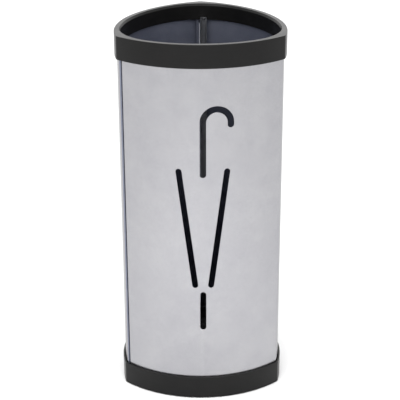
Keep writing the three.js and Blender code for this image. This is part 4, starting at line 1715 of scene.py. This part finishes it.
SOFT_BOXES = (
    SoftBox("soft box left", (-1.6, -1.5, 2.4), size=1.6, watts=19.0),
    SoftBox("soft box right", (1.9, -1.2, 1.8), size=1.4, watts=6.0),
    SoftBox("soft box behind", (0.0, 2.2, 1.5), size=2.4, watts=8.0),
    SoftBox("floor wash", (0.0, -0.75, 0.98), size=0.7, watts=6.0, straight_down=True),
)


@dataclass
class Studio:
    """Pale floor, soft lights and the camera."""

    floor_half: float = 6.0
    floor_colour: Colour = (0.86, 0.86, 0.86)
    floor_roughness: float = 0.9
    floor_specular: float = 0.1
    mottle_scale: float = 3.0
    mottle_tone: float = 0.985
    sky: float = 1.3
    lens_mm: float = 110.1
    sensor_mm: float = 36.0
    clip: tuple[float, float] = (0.05, 50.0)
    camera_distance: float = 1.862
    camera_height: float = 1.0814
    camera_azimuth: float = -0.077
    heading: float = -0.0185
    pitch: float = 22.71
    roll: float = -0.22

    def build_floor(self) -> None:
        """Lays the floor and paints it."""
        size = self.floor_half
        corners = [Vector((x, y, 0)) for x, y in ((-size, -size), (size, -size), (size, size), (-size, size))]
        floor = new_object("studio_floor", corners, [(0, 1, 2, 3)])
        material = bpy.data.materials.new("pale_floor")
        material.use_nodes = True
        tree = material.node_tree
        shader = tree.nodes["Principled BSDF"]
        shader.inputs["Roughness"].default_value = self.floor_roughness
        shader.inputs["Specular IOR Level"].default_value = self.floor_specular
        place = tree.nodes.new("ShaderNodeTexCoord").outputs["Object"]
        mottle = noise(tree, place, self.mottle_scale, detail=3.0)
        tone = remap(tree, mottle.outputs["Fac"], 0.3, 0.7, to_low=self.mottle_tone)
        scaled = tree.nodes.new("ShaderNodeVectorMath")
        scaled.operation = "SCALE"
        scaled.inputs[0].default_value = self.floor_colour
        tree.links.new(tone, scaled.inputs["Scale"])
        tree.links.new(scaled.outputs["Vector"], shader.inputs["Base Color"])
        floor.data.materials.append(material)
        log.info("studio floor laid")

    def build_lights(self) -> None:
        """Sets an even white room and the soft boxes."""
        world = bpy.data.worlds.new("white room")
        world.use_nodes = True
        background = world.node_tree.nodes["Background"]
        background.inputs["Color"].default_value = (1.0, 1.0, 1.0, 1.0)
        background.inputs["Strength"].default_value = self.sky
        bpy.context.scene.world = world
        for box in SOFT_BOXES:
            box.build()

    def build_camera(self, plan: Plan) -> None:
        """Places the camera above and in front of the stand, looking down at it.

        Args:
            plan: The plan, for where the axis stands.
        """
        camera = bpy.data.cameras.new("camera")
        camera.sensor_width = self.sensor_mm
        camera.lens = self.lens_mm
        camera.clip_start, camera.clip_end = self.clip
        obj = bpy.data.objects.new("camera", camera)
        around = math.radians(self.camera_azimuth)
        x = self.camera_distance * math.sin(around)
        y = -self.camera_distance * math.cos(around)
        turn = Matrix.Rotation(math.radians(self.heading), 4, "Z")
        tilt = Matrix.Rotation(math.radians(90 - self.pitch), 4, "X")
        roll = Matrix.Rotation(math.radians(self.roll), 4, "Z")
        obj.matrix_world = Matrix.Translation((x, y + plan.axis_y, self.camera_height)) @ turn @ tilt @ roll
        bpy.context.scene.collection.objects.link(obj)
        bpy.context.scene.camera = obj
        log.info("camera placed")

    def set_tones(self) -> None:
        """Keeps plain display tones, so that pale greys stay true."""
        bpy.context.scene.view_settings.view_transform = "Standard"
        bpy.context.scene.view_settings.look = "None"


def main() -> None:
    """Builds the stand piece by piece, then the studio round it."""
    logging.basicConfig(level=logging.INFO, format="%(name)s: %(message)s")
    plan = Plan()
    mouldings = Mouldings(plan)
    posts = CornerPosts(plan, Screw())
    feet = RubberFeet(plan)
    mouldings.build_top_ring(posts)
    mouldings.build_base(posts, feet)
    SheetPanels(plan, mouldings, UmbrellaSign()).build_all()
    posts.build_all()
    feet.build_all(mouldings)
    DripTray(plan, mouldings).build()
    studio = Studio()
    studio.build_floor()
    studio.build_lights()
    studio.build_camera(plan)
    studio.set_tones()


if __name__ == "__main__":
    main()
